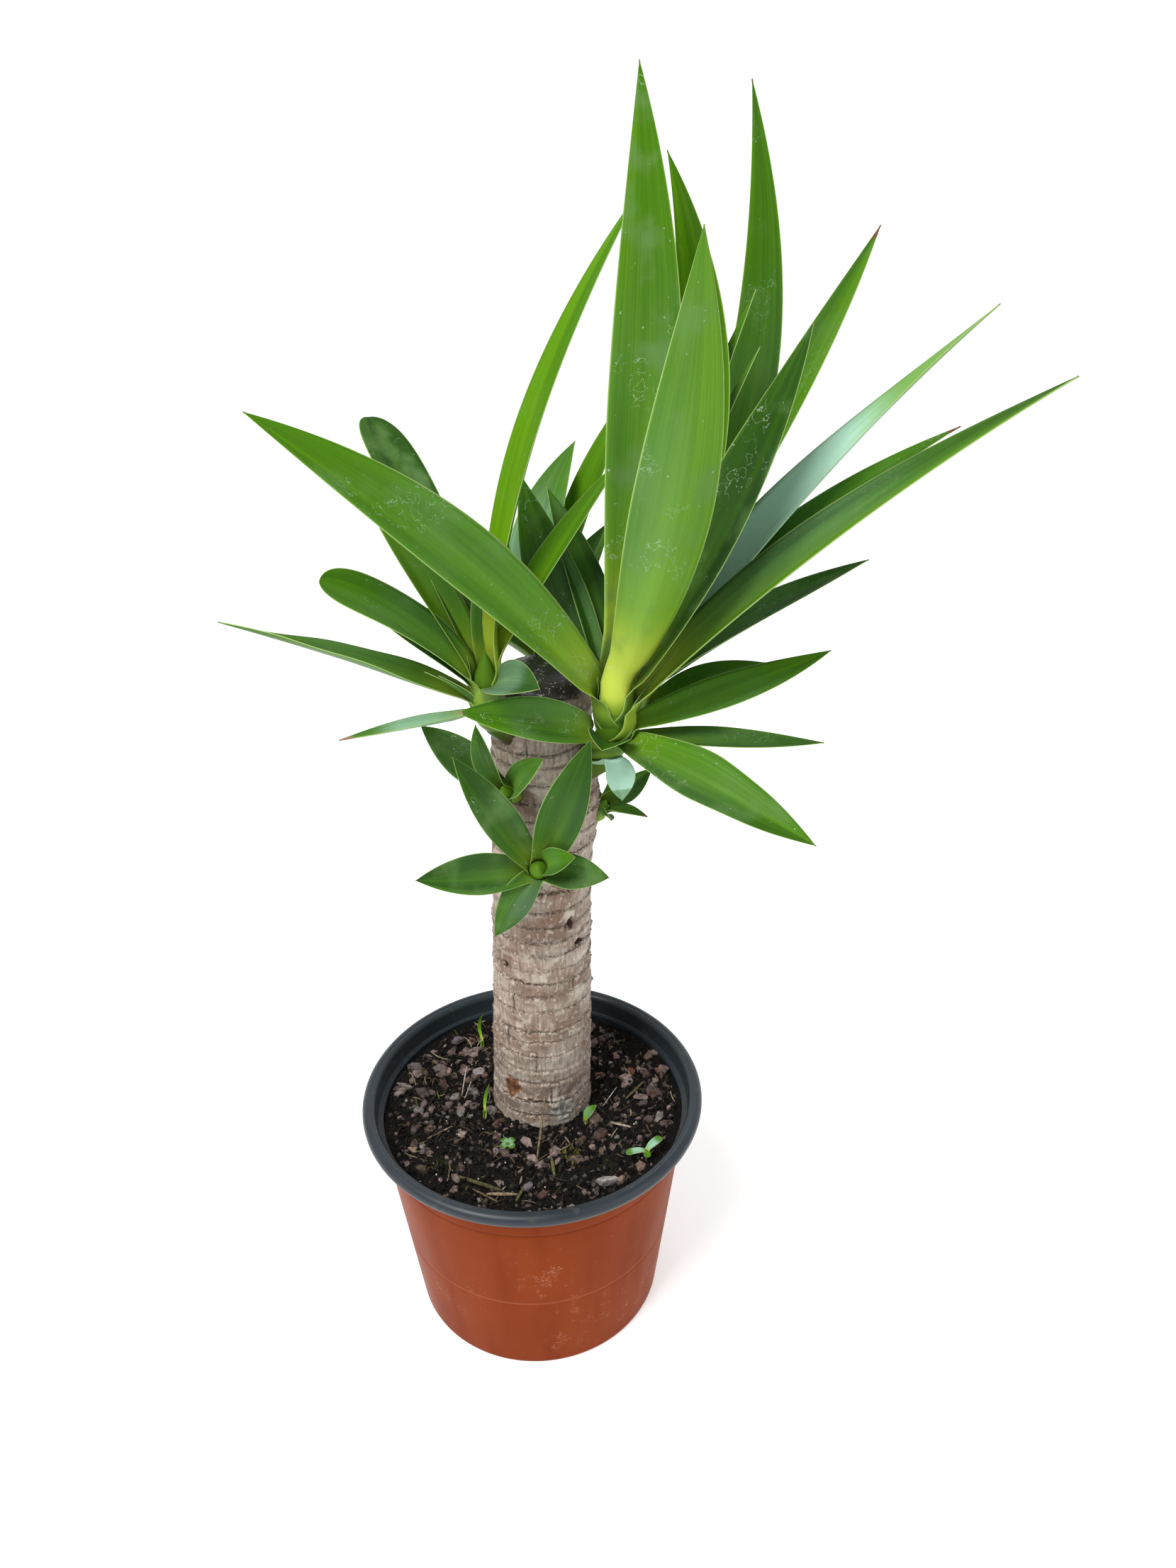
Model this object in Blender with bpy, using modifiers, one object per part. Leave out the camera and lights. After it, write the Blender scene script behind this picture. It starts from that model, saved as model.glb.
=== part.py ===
"""Potted yucca: a sawn cane with its leafy shoots, standing in compost in a round nursery pot.

Metres and degrees. The origin is the centre of the pot's flat underside, +Z is up and +Y is the
plant's back. A heading is the direction seen from above, 0 along +X and 90 along +Y, and a rise is
the angle above the horizontal.
"""

from collections import namedtuple
import math
import random

import bmesh
import bpy
import numpy as np

# Driving dimensions of the pot
POT_HEIGHT = 0.125
RIM_RADIUS = 0.085
NECK_RADIUS = 0.0766
BASE_RADIUS = 0.0635
WALL = 0.0011
FOOT_CHAMFER = 0.002
INNER_FOOT = 0.004
LEDGE_FALL = 0.001
BEAD_RADIUS = 0.0034
BEAD_POINTS = 7
BEAD_SWEEP = 272
LEDGE_BELOW_RIM = 0.011
LEDGE_WIDTH = 0.0024
FLOOR = 0.0015
CHANNEL_HEIGHT = 0.0025
CHANNEL_INNER = 0.034
CHANNEL_OUTER = 0.051
DRAIN_HOLES = 8
DRAIN_HOLE_RADIUS = 0.0045
DRAIN_HOLE_SIDES = 8
DRAIN_CUTTER_DEPTH = 0.01
POT_SIDES = 36

# Compost
GAP = 0.0003
SOIL_TOP = 0.1080
SOIL_EDGE_RISE = 0.0042
SOIL_RELIEF = 0.0016
SOIL_SIDES = 28
SOIL_SHOULDER = 0.003
SOIL_RINGS = (0.995, 0.87, 0.73, 0.59, 0.45, 0.31)
CHIPS = 20
CHIP_SEED = 7
CHIP_LENGTHS = (0.006, 0.012)
CHIP_WIDTHS = (0.004, 0.008)
CHIP_THICKNESSES = (0.0016, 0.003)
CHIP_TILT = 0.45
CHIP_NEAREST = 0.034
CHIP_FURTHEST = 0.068
CHIP_TURN = 137.5

# Cane: it leans to the right on its way up
CANE_FOOT = np.array((0.004, 0.014, 0.036))
CANE_SOIL = np.array((0.004, 0.014, 0.108))
CANE_HEAD = np.array((0.0105, 0.014, 0.339))
CANE_FOOT_RADIUS = 0.0252
CANE_HEAD_RADIUS = 0.0219
SCAR_PITCH = 0.0092
SCAR_DEPTH = 0.0007
SCAR_SLANT = 0.0018
SWELLING = 0.0042
SWELLING_HEIGHT = 0.281
SWELLING_REACH = 0.02
CANE_OVAL = 0.018
FIRST_SCAR = 0.008
LAST_SCAR = 0.012
SCAR_EDGE = 0.18
CANE_SIDES = 16
CUTTER_RINGS = 14
WAX_HEIGHT = 0.0075
WAX_WAVE = 0.015

# Leaves
MIDRIB_THICKNESS = 0.0017
EDGE_THICKNESS = 0.0009
TIP_THICKNESS = 0.0008
WIDEST_AT = 0.45
NECK_SHARE = 0.42
CLASP_SHARE = 0.25
CLASP_LENGTH = 0.05
SPINE_WIDTH = 0.001
FOLD = 24
ROOT_OUTWARDS = 0.4
STEM_TAPER = 0.6
BLUNT_END = 0.45
TAPER = 1.8
BLUNT_TAPER = 4
SECTION_CROWDING = 1.1
BLUNT_CROWDING = 0.4
FEWEST_SECTIONS = 4
SECTION_LENGTH = 0.052

GREEN = (0.07, 0.22, 0.03)
UP = (0.0, 0.0, 1.0)

# up: height of the root above the shoot's crown. bow lifts the middle of the blade off its chord
# towards the upper face and sway moves it sideways, as shares of the length. roll turns the whole
# blade about its length and twist is the turn that the tip adds. blunt is 1 for a rounded tip.
Leaf = namedtuple("Leaf", "up heading rise length width bow sway roll twist blunt", defaults=(0.05, 0, 0, 0, 0))

# stem: centre line of the shoot's stem, from inside the cane's bark to above its crown.
Shoot = namedtuple("Shoot", "name crown axis stem radius leaves")

SHOOTS = [
    Shoot(
        "head_right",
        (0.041, -0.008, 0.334),
        UP,
        [(0.023, 0.005, 0.301), (0.036, -0.004, 0.312), (0.041, -0.008, 0.326), (0.041, -0.008, 0.352)],
        0.0095,
        [
            Leaf(0.014, 60, 86, 0.219, 0.0318, -0.04, -0.02, -15, 5),
            Leaf(0.010, -60, 74, 0.182, 0.033, -0.07, 0, 30, 0),
            Leaf(0.014, 62, 78, 0.196, 0.030, -0.06, -0.11, 8, 0),
            Leaf(0.010, 50, 70, 0.233, 0.026, -0.17, -0.03, -8, 0),
            Leaf(0.006, 35, 53, 0.216, 0.027, 0.02, -0.04, 0, 0),
            Leaf(0.006, 0, 65, 0.160, 0.028, -0.02, -0.03, -42, 0),
            Leaf(0.000, 22, 42, 0.224, 0.030, 0.03, 0, -18, 45),
            Leaf(-0.004, 13, 39, 0.178, 0.024, 0.05, 0.03, -6, 0),
            Leaf(-0.002, -8, 41, 0.209, 0.028, 0.036, 0, -28, 25),
            Leaf(-0.008, 5, 20, 0.092, 0.021, -0.03, 0, -22, 0),
            Leaf(-0.012, -8, 2, 0.083, 0.016, -0.01, 0, -10, 0),
            Leaf(-0.012, -42, -8, 0.097, 0.025, 0.04, -0.04, -25, 0),
            Leaf(0.004, 190, 44, 0.177, 0.032, 0.045, 0, 48, 0),
            Leaf(-0.010, 203, 20, 0.067, 0.021, 0.02, 0, 50, 0),
            Leaf(0.002, 137, 62.5, 0.100, 0.026, -0.03, 0.02, 30, 0),
            Leaf(0.000, 117, 56, 0.098, 0.021, 0.08, 0, -10, 0),
            Leaf(-0.018, 283, -56, 0.019, 0.014, 0.05, 0, 0, 0),
            Leaf(-0.015, 258, 25, 0.024, 0.020, 0.12, 0, 10, 0),
            Leaf(0.010, 62, 55, 0.120, 0.025, 0.05, 0, 0, 0),
            Leaf(0.002, 70, 40, 0.130, 0.024, 0.08, 0, 0, 0),
            Leaf(0.012, 27, 69, 0.158, 0.014, 0.02, 0, 0, 0),
            Leaf(0.010, 24, 66, 0.142, 0.012, 0.03, 0, 0, 0),
        ],
    ),
    Shoot(
        "head_left",
        (-0.011, -0.008, 0.345),
        UP,
        [(0.000, 0.003, 0.318), (-0.008, -0.005, 0.328), (-0.011, -0.008, 0.340), (-0.011, -0.008, 0.362)],
        0.0072,
        [
            Leaf(0.010, 22, 69.5, 0.184, 0.020, 0.058, 0.02, -8, 0),
            Leaf(0.008, 20, 55, 0.099, 0.016, 0.03, 0, -14, 0),
            Leaf(0.004, 122, 43, 0.132, 0.024, 0.05, 0, -5, 0, 1),
            Leaf(0.000, 196, 42, 0.079, 0.024, 0.06, 0, 28, 0, 1),
            Leaf(-0.002, 170, 37, 0.048, 0.020, 0.09, 0, 18, 0),
            Leaf(0.002, -62, 20, 0.050, 0.018, 0.05, 0, -45, 0),
            Leaf(0.000, 150, 55, 0.093, 0.024, 0.03, 0, 0, 0),
            Leaf(-0.006, 180, 20, 0.109, 0.020, 0.01, 0, 20, -50),
            Leaf(-0.010, 205, 1, 0.060, 0.011, 0, 0, -2, 0),
            Leaf(0.006, 80, 46, 0.062, 0.020, 0.06, 0, 0, 0),
            Leaf(-0.008, 207, 47, 0.0256, 0.007, 0.05, 0, 0, 0),
            Leaf(-0.008, 199, 42, 0.030, 0.007, 0.05, 0, 0, 0),
        ],
    ),
    Shoot(
        "head_back_right",
        (0.054, 0.030, 0.322),
        UP,
        [(0.022, 0.022, 0.298), (0.038, 0.026, 0.305), (0.051, 0.029, 0.312), (0.054, 0.030, 0.336)],
        0.0062,
        [
            Leaf(0.004, 5, 31, 0.112, 0.023, 0.03, 0, -8, 0),
            Leaf(-0.004, -5, 25, 0.057, 0.017, 0.06, 0, -10, 0),
            Leaf(0.000, 45, 40, 0.075, 0.020, 0.06, 0, 0, 0),
            Leaf(0.004, 85, 58, 0.085, 0.020, 0.08, 0, 0, 0),
            Leaf(0.000, 130, 35, 0.060, 0.018, 0.08, 0, 0, 0),
        ],
    ),
    Shoot(
        "head_back",
        (0.012, 0.048, 0.336),
        UP,
        [(0.011, 0.030, 0.312), (0.012, 0.040, 0.319), (0.012, 0.048, 0.330), (0.012, 0.048, 0.350)],
        0.0065,
        [
            Leaf(0.008, 24, 69, 0.118, 0.019, 0.05, 0, -15, 0),
            Leaf(0.004, 57, 75, 0.092, 0.028, 0.19, 0, 0, 0),
            Leaf(0.006, 30, 60, 0.060, 0.020, 0.05, 0, 0, 0),
            Leaf(0.004, 60, 38, 0.070, 0.021, 0.06, 0, 0, 0),
            Leaf(0.002, 100, 34, 0.080, 0.020, 0.10, 0, 0, 0),
            Leaf(0.000, 145, 44, 0.075, 0.021, 0.08, 0, 0, 0),
            Leaf(-0.004, 175, 26, 0.062, 0.019, 0.08, 0, 0, 0),
        ],
    ),
    Shoot(
        "rosette_front",
        (0.008, -0.015, 0.263),
        (0.1, -0.8, 0.6),
        [(0.008, -0.003, 0.258), (0.008, -0.010, 0.260), (0.008, -0.018, 0.264), (0.008, -0.023, 0.269)],
        0.0052,
        [
            Leaf(0.001, 213, 61, 0.073, 0.018, -0.02, 0, 0, 0),
            Leaf(0.003, -38, 68, 0.073, 0.021, 0.03, 0, 0, 0),
            Leaf(-0.001, 195, 5, 0.052, 0.020, 0.06, 0, 0, 0),
            Leaf(0.000, -22, 5, 0.031, 0.017, 0.06, 0, 0, 0),
            Leaf(0.001, 228, -40, 0.034, 0.016, 0.05, 0, 0, 0),
            Leaf(0.003, -50, 32, 0.027, 0.013, 0.04, 0, 0, 0),
        ],
    ),
    Shoot(
        "sprout_left",
        (-0.004, -0.012, 0.298),
        (-0.5, -0.6, 0.6),
        [(0.000, -0.003, 0.293), (-0.002, -0.007, 0.295), (-0.004, -0.012, 0.298), (-0.006, -0.015, 0.304)],
        0.0042,
        [
            Leaf(0.002, 190, 46, 0.047, 0.019, -0.08, 0, 0, 0),
            Leaf(0.003, 215, 70, 0.036, 0.014, 0.05, 0, 0, 0),
            Leaf(0.000, -45, 50, 0.033, 0.015, 0.05, 0, 0, 0),
            Leaf(0.000, 165, 5, 0.018, 0.010, 0.05, 0, 0, 0),
        ],
    ),
    Shoot(
        "sprout_right",
        (0.035, 0.010, 0.278),
        (0.8, -0.3, 0.5),
        [(0.026, 0.012, 0.273), (0.030, 0.011, 0.274), (0.035, 0.010, 0.278), (0.038, 0.009, 0.284)],
        0.0042,
        [
            Leaf(0.003, 15, 32, 0.027, 0.012, 0.05, 0, 0, 0),
            Leaf(0.000, -20, 2, 0.021, 0.009, 0.05, 0, 0, 0),
            Leaf(0.002, 60, 40, 0.024, 0.011, 0.05, 0, 0, 0),
            Leaf(0.000, -60, 0, 0.009, 0.008, 0.05, 0, 0, 0),
        ],
    ),
]


def unit(vector):
    return vector / np.linalg.norm(vector, axis=-1, keepdims=True)


def direction(heading, rise):
    heading, rise = math.radians(heading), math.radians(rise)
    flat = math.cos(rise)
    return np.array((flat * math.cos(heading), flat * math.sin(heading), math.sin(rise)))


def clear_scene():
    for obj in list(bpy.data.objects):
        bpy.data.objects.remove(obj)


def material(name, colour, roughness):
    made = bpy.data.materials.new(name)
    made.use_nodes = True
    shader = made.node_tree.nodes["Principled BSDF"]
    shader.inputs["Base Color"].default_value = (*colour, 1)
    shader.inputs["Roughness"].default_value = roughness
    return made


def add_object(name, mesh, collection, cutter=False):
    obj = bpy.data.objects.new(name, mesh)
    collection.objects.link(obj)
    if cutter:
        obj.hide_render = True
        obj.display_type = "WIRE"
    return obj


def mesh_from(name, points, faces):
    """A closed mesh with its faces turned outwards."""
    mesh = bpy.data.meshes.new(name)
    mesh.from_pydata([tuple(map(float, p)) for p in points], [], faces)
    form = bmesh.new()
    form.from_mesh(mesh)
    bmesh.ops.recalc_face_normals(form, faces=form.faces)
    form.to_mesh(mesh)
    form.free()
    return mesh


def finish(obj, look, sharp_angle=50):
    """Applies the modifiers, gives the object its material and shades it smooth."""
    bpy.context.view_layer.update()
    graph = bpy.context.evaluated_depsgraph_get()
    applied = bpy.data.meshes.new_from_object(obj.evaluated_get(graph))
    obj.modifiers.clear()
    obj.data = applied
    applied.materials.clear()
    applied.materials.append(look)
    applied.shade_smooth()
    applied.set_sharp_from_angle(angle=math.radians(sharp_angle))


def keep_main_body(mesh):
    """Drops each closed surface but the largest: a hollow that fusing sealed, or a scrap that a cut left."""
    form = bmesh.new()
    form.from_mesh(mesh)
    waiting = set(form.faces)
    bodies = []
    while waiting:
        body = [waiting.pop()]
        for face in body:
            for beside in (other for edge in face.edges for other in edge.link_faces):
                if beside in waiting:
                    waiting.remove(beside)
                    body.append(beside)
        bodies.append(body)
    bodies.sort(key=len)
    bmesh.ops.delete(form, geom=[face for body in bodies[:-1] for face in body], context="FACES")
    form.to_mesh(mesh)
    form.free()


def boolean(obj, operation, other):
    modifier = obj.modifiers.new(operation.lower(), "BOOLEAN")
    modifier.operation = operation
    modifier.solver = "EXACT"
    if isinstance(other, bpy.types.Collection):
        modifier.operand_type = "COLLECTION"
        modifier.collection = other
    else:
        modifier.object = other


def screw(obj, sides):
    modifier = obj.modifiers.new("turn", "SCREW")
    modifier.steps = modifier.render_steps = sides
    modifier.use_merge_vertices = True
    modifier.merge_threshold = 0.00001


def profile_mesh(name, profile):
    mesh = bpy.data.meshes.new(name)
    edges = [(i, i + 1) for i in range(len(profile) - 1)]
    mesh.from_pydata([(radius, 0, height) for radius, height in profile], edges, [])
    return mesh


def wall_radius(height):
    """Outer radius of the tapered wall, from its foot to the ledge."""
    return BASE_RADIUS + (NECK_RADIUS - BASE_RADIUS) * height / (POT_HEIGHT - LEDGE_BELOW_RIM)


def make_pot(parts, cutters):
    """A turned thin shell: flat middle, raised drain channel, tapered wall, ledge and rolled rim."""
    ledge = POT_HEIGHT - LEDGE_BELOW_RIM
    collar = NECK_RADIUS + LEDGE_WIDTH
    bead_centre = (RIM_RADIUS - BEAD_RADIUS, POT_HEIGHT - BEAD_RADIUS)
    bead = []
    for step in range(BEAD_POINTS):
        angle = math.radians(180 - BEAD_SWEEP * step / (BEAD_POINTS - 1))
        bead.append(
            (bead_centre[0] + BEAD_RADIUS * math.cos(angle), bead_centre[1] + BEAD_RADIUS * math.sin(angle))
        )
    inside = [
        (0, FLOOR),
        (CHANNEL_INNER - WALL, FLOOR),
        (CHANNEL_INNER, FLOOR + CHANNEL_HEIGHT),
        (CHANNEL_OUTER, FLOOR + CHANNEL_HEIGHT),
        (CHANNEL_OUTER + WALL, FLOOR),
        (BASE_RADIUS - 2 * WALL, FLOOR),
        (wall_radius(INNER_FOOT) - WALL, INNER_FOOT),
        (wall_radius(ledge) - WALL, ledge),
        (collar - WALL, ledge + LEDGE_FALL),
    ]
    outside = [
        (collar, bead_centre[1] - BEAD_RADIUS),
        (collar, ledge + LEDGE_FALL - WALL),
        (wall_radius(ledge), ledge - WALL),
        (wall_radius(FOOT_CHAMFER), FOOT_CHAMFER),
        (BASE_RADIUS - FOOT_CHAMFER, 0),
        (CHANNEL_OUTER + WALL, 0),
        (CHANNEL_OUTER, CHANNEL_HEIGHT),
        (CHANNEL_INNER, CHANNEL_HEIGHT),
        (CHANNEL_INNER - WALL, 0),
        (0, 0),
    ]
    pot = add_object("pot", profile_mesh("pot", inside + bead + outside), parts)
    screw(pot, POT_SIDES)
    form = bmesh.new()
    bmesh.ops.create_cone(
        form,
        cap_ends=True,
        segments=DRAIN_HOLE_SIDES,
        radius1=DRAIN_HOLE_RADIUS,
        radius2=DRAIN_HOLE_RADIUS,
        depth=DRAIN_CUTTER_DEPTH,
    )
    peg = bpy.data.meshes.new("drain_cutter")
    form.to_mesh(peg)
    form.free()
    ring = (CHANNEL_INNER + CHANNEL_OUTER) / 2
    for hole in range(DRAIN_HOLES):
        angle = 2 * math.pi * (hole + 0.5) / DRAIN_HOLES
        cutter = add_object(f"drain_cutter_{hole}", peg, cutters, cutter=True)
        cutter.location = (ring * math.cos(angle), ring * math.sin(angle), CHANNEL_HEIGHT)
        boolean(pot, "DIFFERENCE", cutter)
    finish(pot, material("pot_plastic", (0.44, 0.075, 0.024), 0.38))


def cane_radius(height, angle):
    """Smooth radius of the cane, a little oval, without its ring scars."""
    share = (height - CANE_FOOT[2]) / (CANE_HEAD[2] - CANE_FOOT[2])
    radius = CANE_FOOT_RADIUS + (CANE_HEAD_RADIUS - CANE_FOOT_RADIUS) * share
    # The bark swells on the right, below the largest shoot.
    rise = math.exp(-(((height - SWELLING_HEIGHT) / SWELLING_REACH) ** 2))
    swelling = SWELLING * rise * max(math.cos(angle), 0) ** 2
    return radius * (1 + CANE_OVAL * math.cos(2 * angle + 3 * share)) + swelling


def cane_centre(height):
    share = (height - CANE_SOIL[2]) / (CANE_HEAD[2] - CANE_SOIL[2])
    return CANE_SOIL + (CANE_HEAD - CANE_SOIL) * max(share, 0)


def cane_mesh(name, extra, scars):
    """A loft up the cane. extra fattens it for a cutter, and scars raises the ring scars."""
    rings = [(CANE_FOOT[2] - extra, 0), (CANE_SOIL[2] + FIRST_SCAR / 2, 0)]
    if scars:
        count = round((CANE_HEAD[2] - CANE_SOIL[2] - LAST_SCAR) / SCAR_PITCH)
        for scar in range(count):
            height = CANE_SOIL[2] + FIRST_SCAR + scar * SCAR_PITCH
            rings += [(height, -0.6), (height + SCAR_EDGE * SCAR_PITCH, 0.7)]
    else:
        heights = np.linspace(CANE_SOIL[2], CANE_HEAD[2], CUTTER_RINGS)[2:-1]
        rings += [(height, 0) for height in heights]
    rings.append((CANE_HEAD[2] + extra, 0))
    points = []
    for number, (height, relief) in enumerate(rings):
        centre = cane_centre(height)
        slanted = scars and 1 < number < len(rings) - 1
        for side in range(CANE_SIDES):
            angle = 2 * math.pi * side / CANE_SIDES
            radius = cane_radius(height, angle) + extra
            if slanted:
                radius += SCAR_DEPTH * relief * (0.7 + 0.5 * math.sin(3 * angle + 1.3 * number))
            lift = SCAR_SLANT * math.sin(angle + 0.9 + 0.05 * number) if slanted else 0
            points.append(
                (centre[0] + radius * math.cos(angle), centre[1] + radius * math.sin(angle), height + lift)
            )
    faces = []
    for ring in range(len(rings) - 1):
        low, high = ring * CANE_SIDES, (ring + 1) * CANE_SIDES
        for side in range(CANE_SIDES):
            beside = (side + 1) % CANE_SIDES
            faces.append((low + side, low + beside, high + beside, high + side))
    faces.append(tuple(range(CANE_SIDES)))
    faces.append(tuple(range(len(points) - CANE_SIDES, len(points))))
    return mesh_from(name, points, faces)


def make_cane(parts):
    cane = add_object("trunk", cane_mesh("trunk", 0, scars=True), parts)
    finish(cane, material("cane_bark", (0.33, 0.23, 0.16), 0.85), sharp_angle=70)


def make_wax(parts):
    """A poured dome that covers the sawn top, its edge waved where it ran."""
    points = [(*(CANE_HEAD + (0, 0, GAP)),)]
    # Shares of the cane's radius and of the dome's height
    rings = [(0.975, 0.0), (1.01, 0.3), (0.93, 0.62), (0.66, 0.89), (0.33, 0.98)]
    for share, height in rings:
        for side in range(CANE_SIDES):
            angle = 2 * math.pi * side / CANE_SIDES
            radius = cane_radius(CANE_HEAD[2], angle) * (share + WAX_WAVE * math.sin(5 * angle))
            points.append(
                (
                    CANE_HEAD[0] + radius * math.cos(angle),
                    CANE_HEAD[1] + radius * math.sin(angle),
                    CANE_HEAD[2] + GAP + height * WAX_HEIGHT,
                )
            )
    points.append((*(CANE_HEAD + (0, 0, GAP + WAX_HEIGHT)),))
    last = len(points) - 1
    faces = []
    for side in range(CANE_SIDES):
        beside = (side + 1) % CANE_SIDES
        faces.append((0, 1 + beside, 1 + side))
        for ring in range(len(rings) - 1):
            low, high = 1 + ring * CANE_SIDES, 1 + (ring + 1) * CANE_SIDES
            faces.append((low + side, low + beside, high + beside, high + side))
        faces.append((high + side, high + beside, last))
    wax = add_object("wax_seal", mesh_from("wax_seal", points, faces), parts)
    finish(wax, material("wax", (0.035, 0.028, 0.026), 0.35))


def soil_height(x, y):
    waves = math.sin(95 * x + 0.5) * math.sin(88 * y + 1.1) + 0.6 * math.sin(190 * x - 160 * y)
    reach = min(math.hypot(x, y) / NECK_RADIUS, 1)
    return SOIL_TOP + SOIL_RELIEF * waves * (1 - 0.5 * reach) + SOIL_EDGE_RISE * reach**2


def make_chips(helpers):
    """Bark chips: thin slabs half sunk in the surface, in a sunflower layout with a seeded scatter."""
    draw = random.Random(CHIP_SEED)
    for chip in range(CHIPS):
        reach = CHIP_NEAREST + (CHIP_FURTHEST - CHIP_NEAREST) * math.sqrt((chip + draw.random()) / CHIPS)
        angle = chip * math.radians(CHIP_TURN)
        x, y = reach * math.cos(angle), reach * math.sin(angle)
        size = [draw.uniform(*limits) for limits in (CHIP_LENGTHS, CHIP_WIDTHS, CHIP_THICKNESSES)]
        form = bmesh.new()
        bmesh.ops.create_cube(form, size=1)
        for vert in form.verts:
            pinch = 1 - 0.35 * draw.random()
            vert.co = [side * along * pinch for side, along in zip(size, vert.co)]
        mesh = bpy.data.meshes.new("chip")
        form.to_mesh(mesh)
        form.free()
        slab = add_object(f"chip_{chip}", mesh, helpers, cutter=True)
        slab.location = (x, y, soil_height(x, y))
        tilts = [draw.uniform(-CHIP_TILT, CHIP_TILT) for axis in range(2)]
        slab.rotation_euler = (*tilts, draw.uniform(0, math.pi))


def make_soil(parts, cutters):
    """Compost up to the neck: a lathe of rings, a waved top, chips fused on and a hole for the cane."""
    floor = FLOOR + CHANNEL_HEIGHT + GAP
    points = []
    for height in (floor, SOIL_TOP + SOIL_EDGE_RISE - SOIL_SHOULDER):
        radius = wall_radius(height) - WALL - 2 * GAP
        for side in range(SOIL_SIDES):
            angle = 2 * math.pi * side / SOIL_SIDES
            points.append((radius * math.cos(angle), radius * math.sin(angle), height))
    for share in SOIL_RINGS:
        radius = (wall_radius(SOIL_TOP) - WALL - 2 * GAP) * share
        for side in range(SOIL_SIDES):
            angle = 2 * math.pi * side / SOIL_SIDES
            x, y = radius * math.cos(angle), radius * math.sin(angle)
            points.append((x, y, soil_height(x, y)))
    points.append((0, 0, soil_height(0, 0)))
    last = len(points) - 1
    faces = [tuple(range(SOIL_SIDES))]
    for ring in range(len(SOIL_RINGS) + 1):
        low, high = ring * SOIL_SIDES, (ring + 1) * SOIL_SIDES
        for side in range(SOIL_SIDES):
            beside = (side + 1) % SOIL_SIDES
            faces.append((low + side, low + beside, high + beside, high + side))
    for side in range(SOIL_SIDES):
        faces.append((high + side, high + (side + 1) % SOIL_SIDES, last))
    soil = add_object("soil", mesh_from("soil", points, faces), parts)
    chips = bpy.data.collections.new("chips")
    bpy.context.scene.collection.children.link(chips)
    make_chips(chips)
    boolean(soil, "UNION", chips)
    clearance = cane_mesh("cane_cutter", GAP + SCAR_DEPTH, scars=False)
    hole = add_object("cane_cutter", clearance, cutters, cutter=True)
    boolean(soil, "DIFFERENCE", hole)
    finish(soil, material("compost", (0.035, 0.022, 0.015), 0.95), sharp_angle=30)
    remove_collection(chips)


def remove_collection(collection):
    for obj in list(collection.objects):
        bpy.data.objects.remove(obj)
    bpy.data.collections.remove(collection)


def leaf_centre_line(shoot, leaf, along):
    """Points, tangents and upper-face normals at the shares along of the leaf's length."""
    chord = direction(leaf.heading, leaf.rise)
    axis = unit(np.array(shoot.axis))
    upper = unit(axis - (axis @ chord) * chord)
    side = np.cross(upper, chord)
    outward = direction(leaf.heading, 0) * ROOT_OUTWARDS * shoot.radius
    root = np.array(shoot.crown) + np.array((0, 0, leaf.up)) + outward
    share = along[:, None]
    bend = leaf.bow * upper + leaf.sway * side
    points = root + leaf.length * (share * chord + 4 * share * (1 - share) * bend)
    tangents = unit(chord + 4 * (1 - 2 * share) * bend)
    normals = unit(upper - (tangents @ upper)[:, None] * tangents)
    return points, tangents, normals


def leaf_width(along, width, blunt):
    """A clasping base, a neck, the widest place near the middle and a long taper to the spine."""
    rising = np.clip(along / WIDEST_AT, 0, 1)
    falling = np.clip((along - WIDEST_AT) / (1 - WIDEST_AT), 0, 1)
    taper = (1 - falling ** (TAPER + BLUNT_TAPER * blunt)) ** (1 / (1 + blunt))
    blade = (NECK_SHARE + (1 - NECK_SHARE) * np.sin(np.pi / 2 * rising)) * taper
    clasp = CLASP_SHARE * np.exp(-((along / CLASP_LENGTH) ** 2))
    return np.maximum(width * (blade + clasp), SPINE_WIDTH + BLUNT_END * blunt * width)


def leaf_mesh(shoot, leaf):
    """A loft of channelled sections, each three points across on both faces."""
    sections = FEWEST_SECTIONS + int(leaf.length / SECTION_LENGTH)
    along = np.linspace(0, 1, sections + 1) ** (SECTION_CROWDING - BLUNT_CROWDING * leaf.blunt)
    points, tangents, normals = leaf_centre_line(shoot, leaf, along)
    sides = np.cross(normals, tangents)
    turn = np.radians(leaf.roll + leaf.twist * along)[:, None]
    up = normals * np.cos(turn) + sides * np.sin(turn)
    across = sides * np.cos(turn) - normals * np.sin(turn)
    half = leaf_width(along, leaf.width, leaf.blunt)[:, None] / 2
    fold = np.radians(FOLD * (1.5 - along))[:, None]
    rim = half * np.sin(fold) * up
    reach = half * np.cos(fold) * across
    share = along[:, None]
    middle = MIDRIB_THICKNESS + (TIP_THICKNESS - MIDRIB_THICKNESS) * share
    edge = EDGE_THICKNESS + (TIP_THICKNESS - EDGE_THICKNESS) * share
    rings = np.stack(
        [
            points - reach + rim,
            points,
            points + reach + rim,
            points + reach + rim - edge * up,
            points - middle * up,
            points - reach + rim - edge * up,
        ],
        axis=1,
    )
    faces = []
    for ring in range(sections):
        low, high = 6 * ring, 6 * (ring + 1)
        for corner in range(6):
            beside = (corner + 1) % 6
            a, b, c, d = low + corner, low + beside, high + beside, high + corner
            # Both faces of the blade are split along the same lines, so that they stay parallel.
            faces += [(a, b, d), (b, c, d)] if corner in (3, 4) else [(a, b, c), (a, c, d)]
    for first, order in ((0, 1), (6 * sections, -1)):
        for quad in ((0, 1, 4, 5), (1, 2, 3, 4)):
            faces.append(tuple(first + corner for corner in quad[::order]))
    return mesh_from("leaf", rings.reshape(-1, 3), faces)


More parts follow.
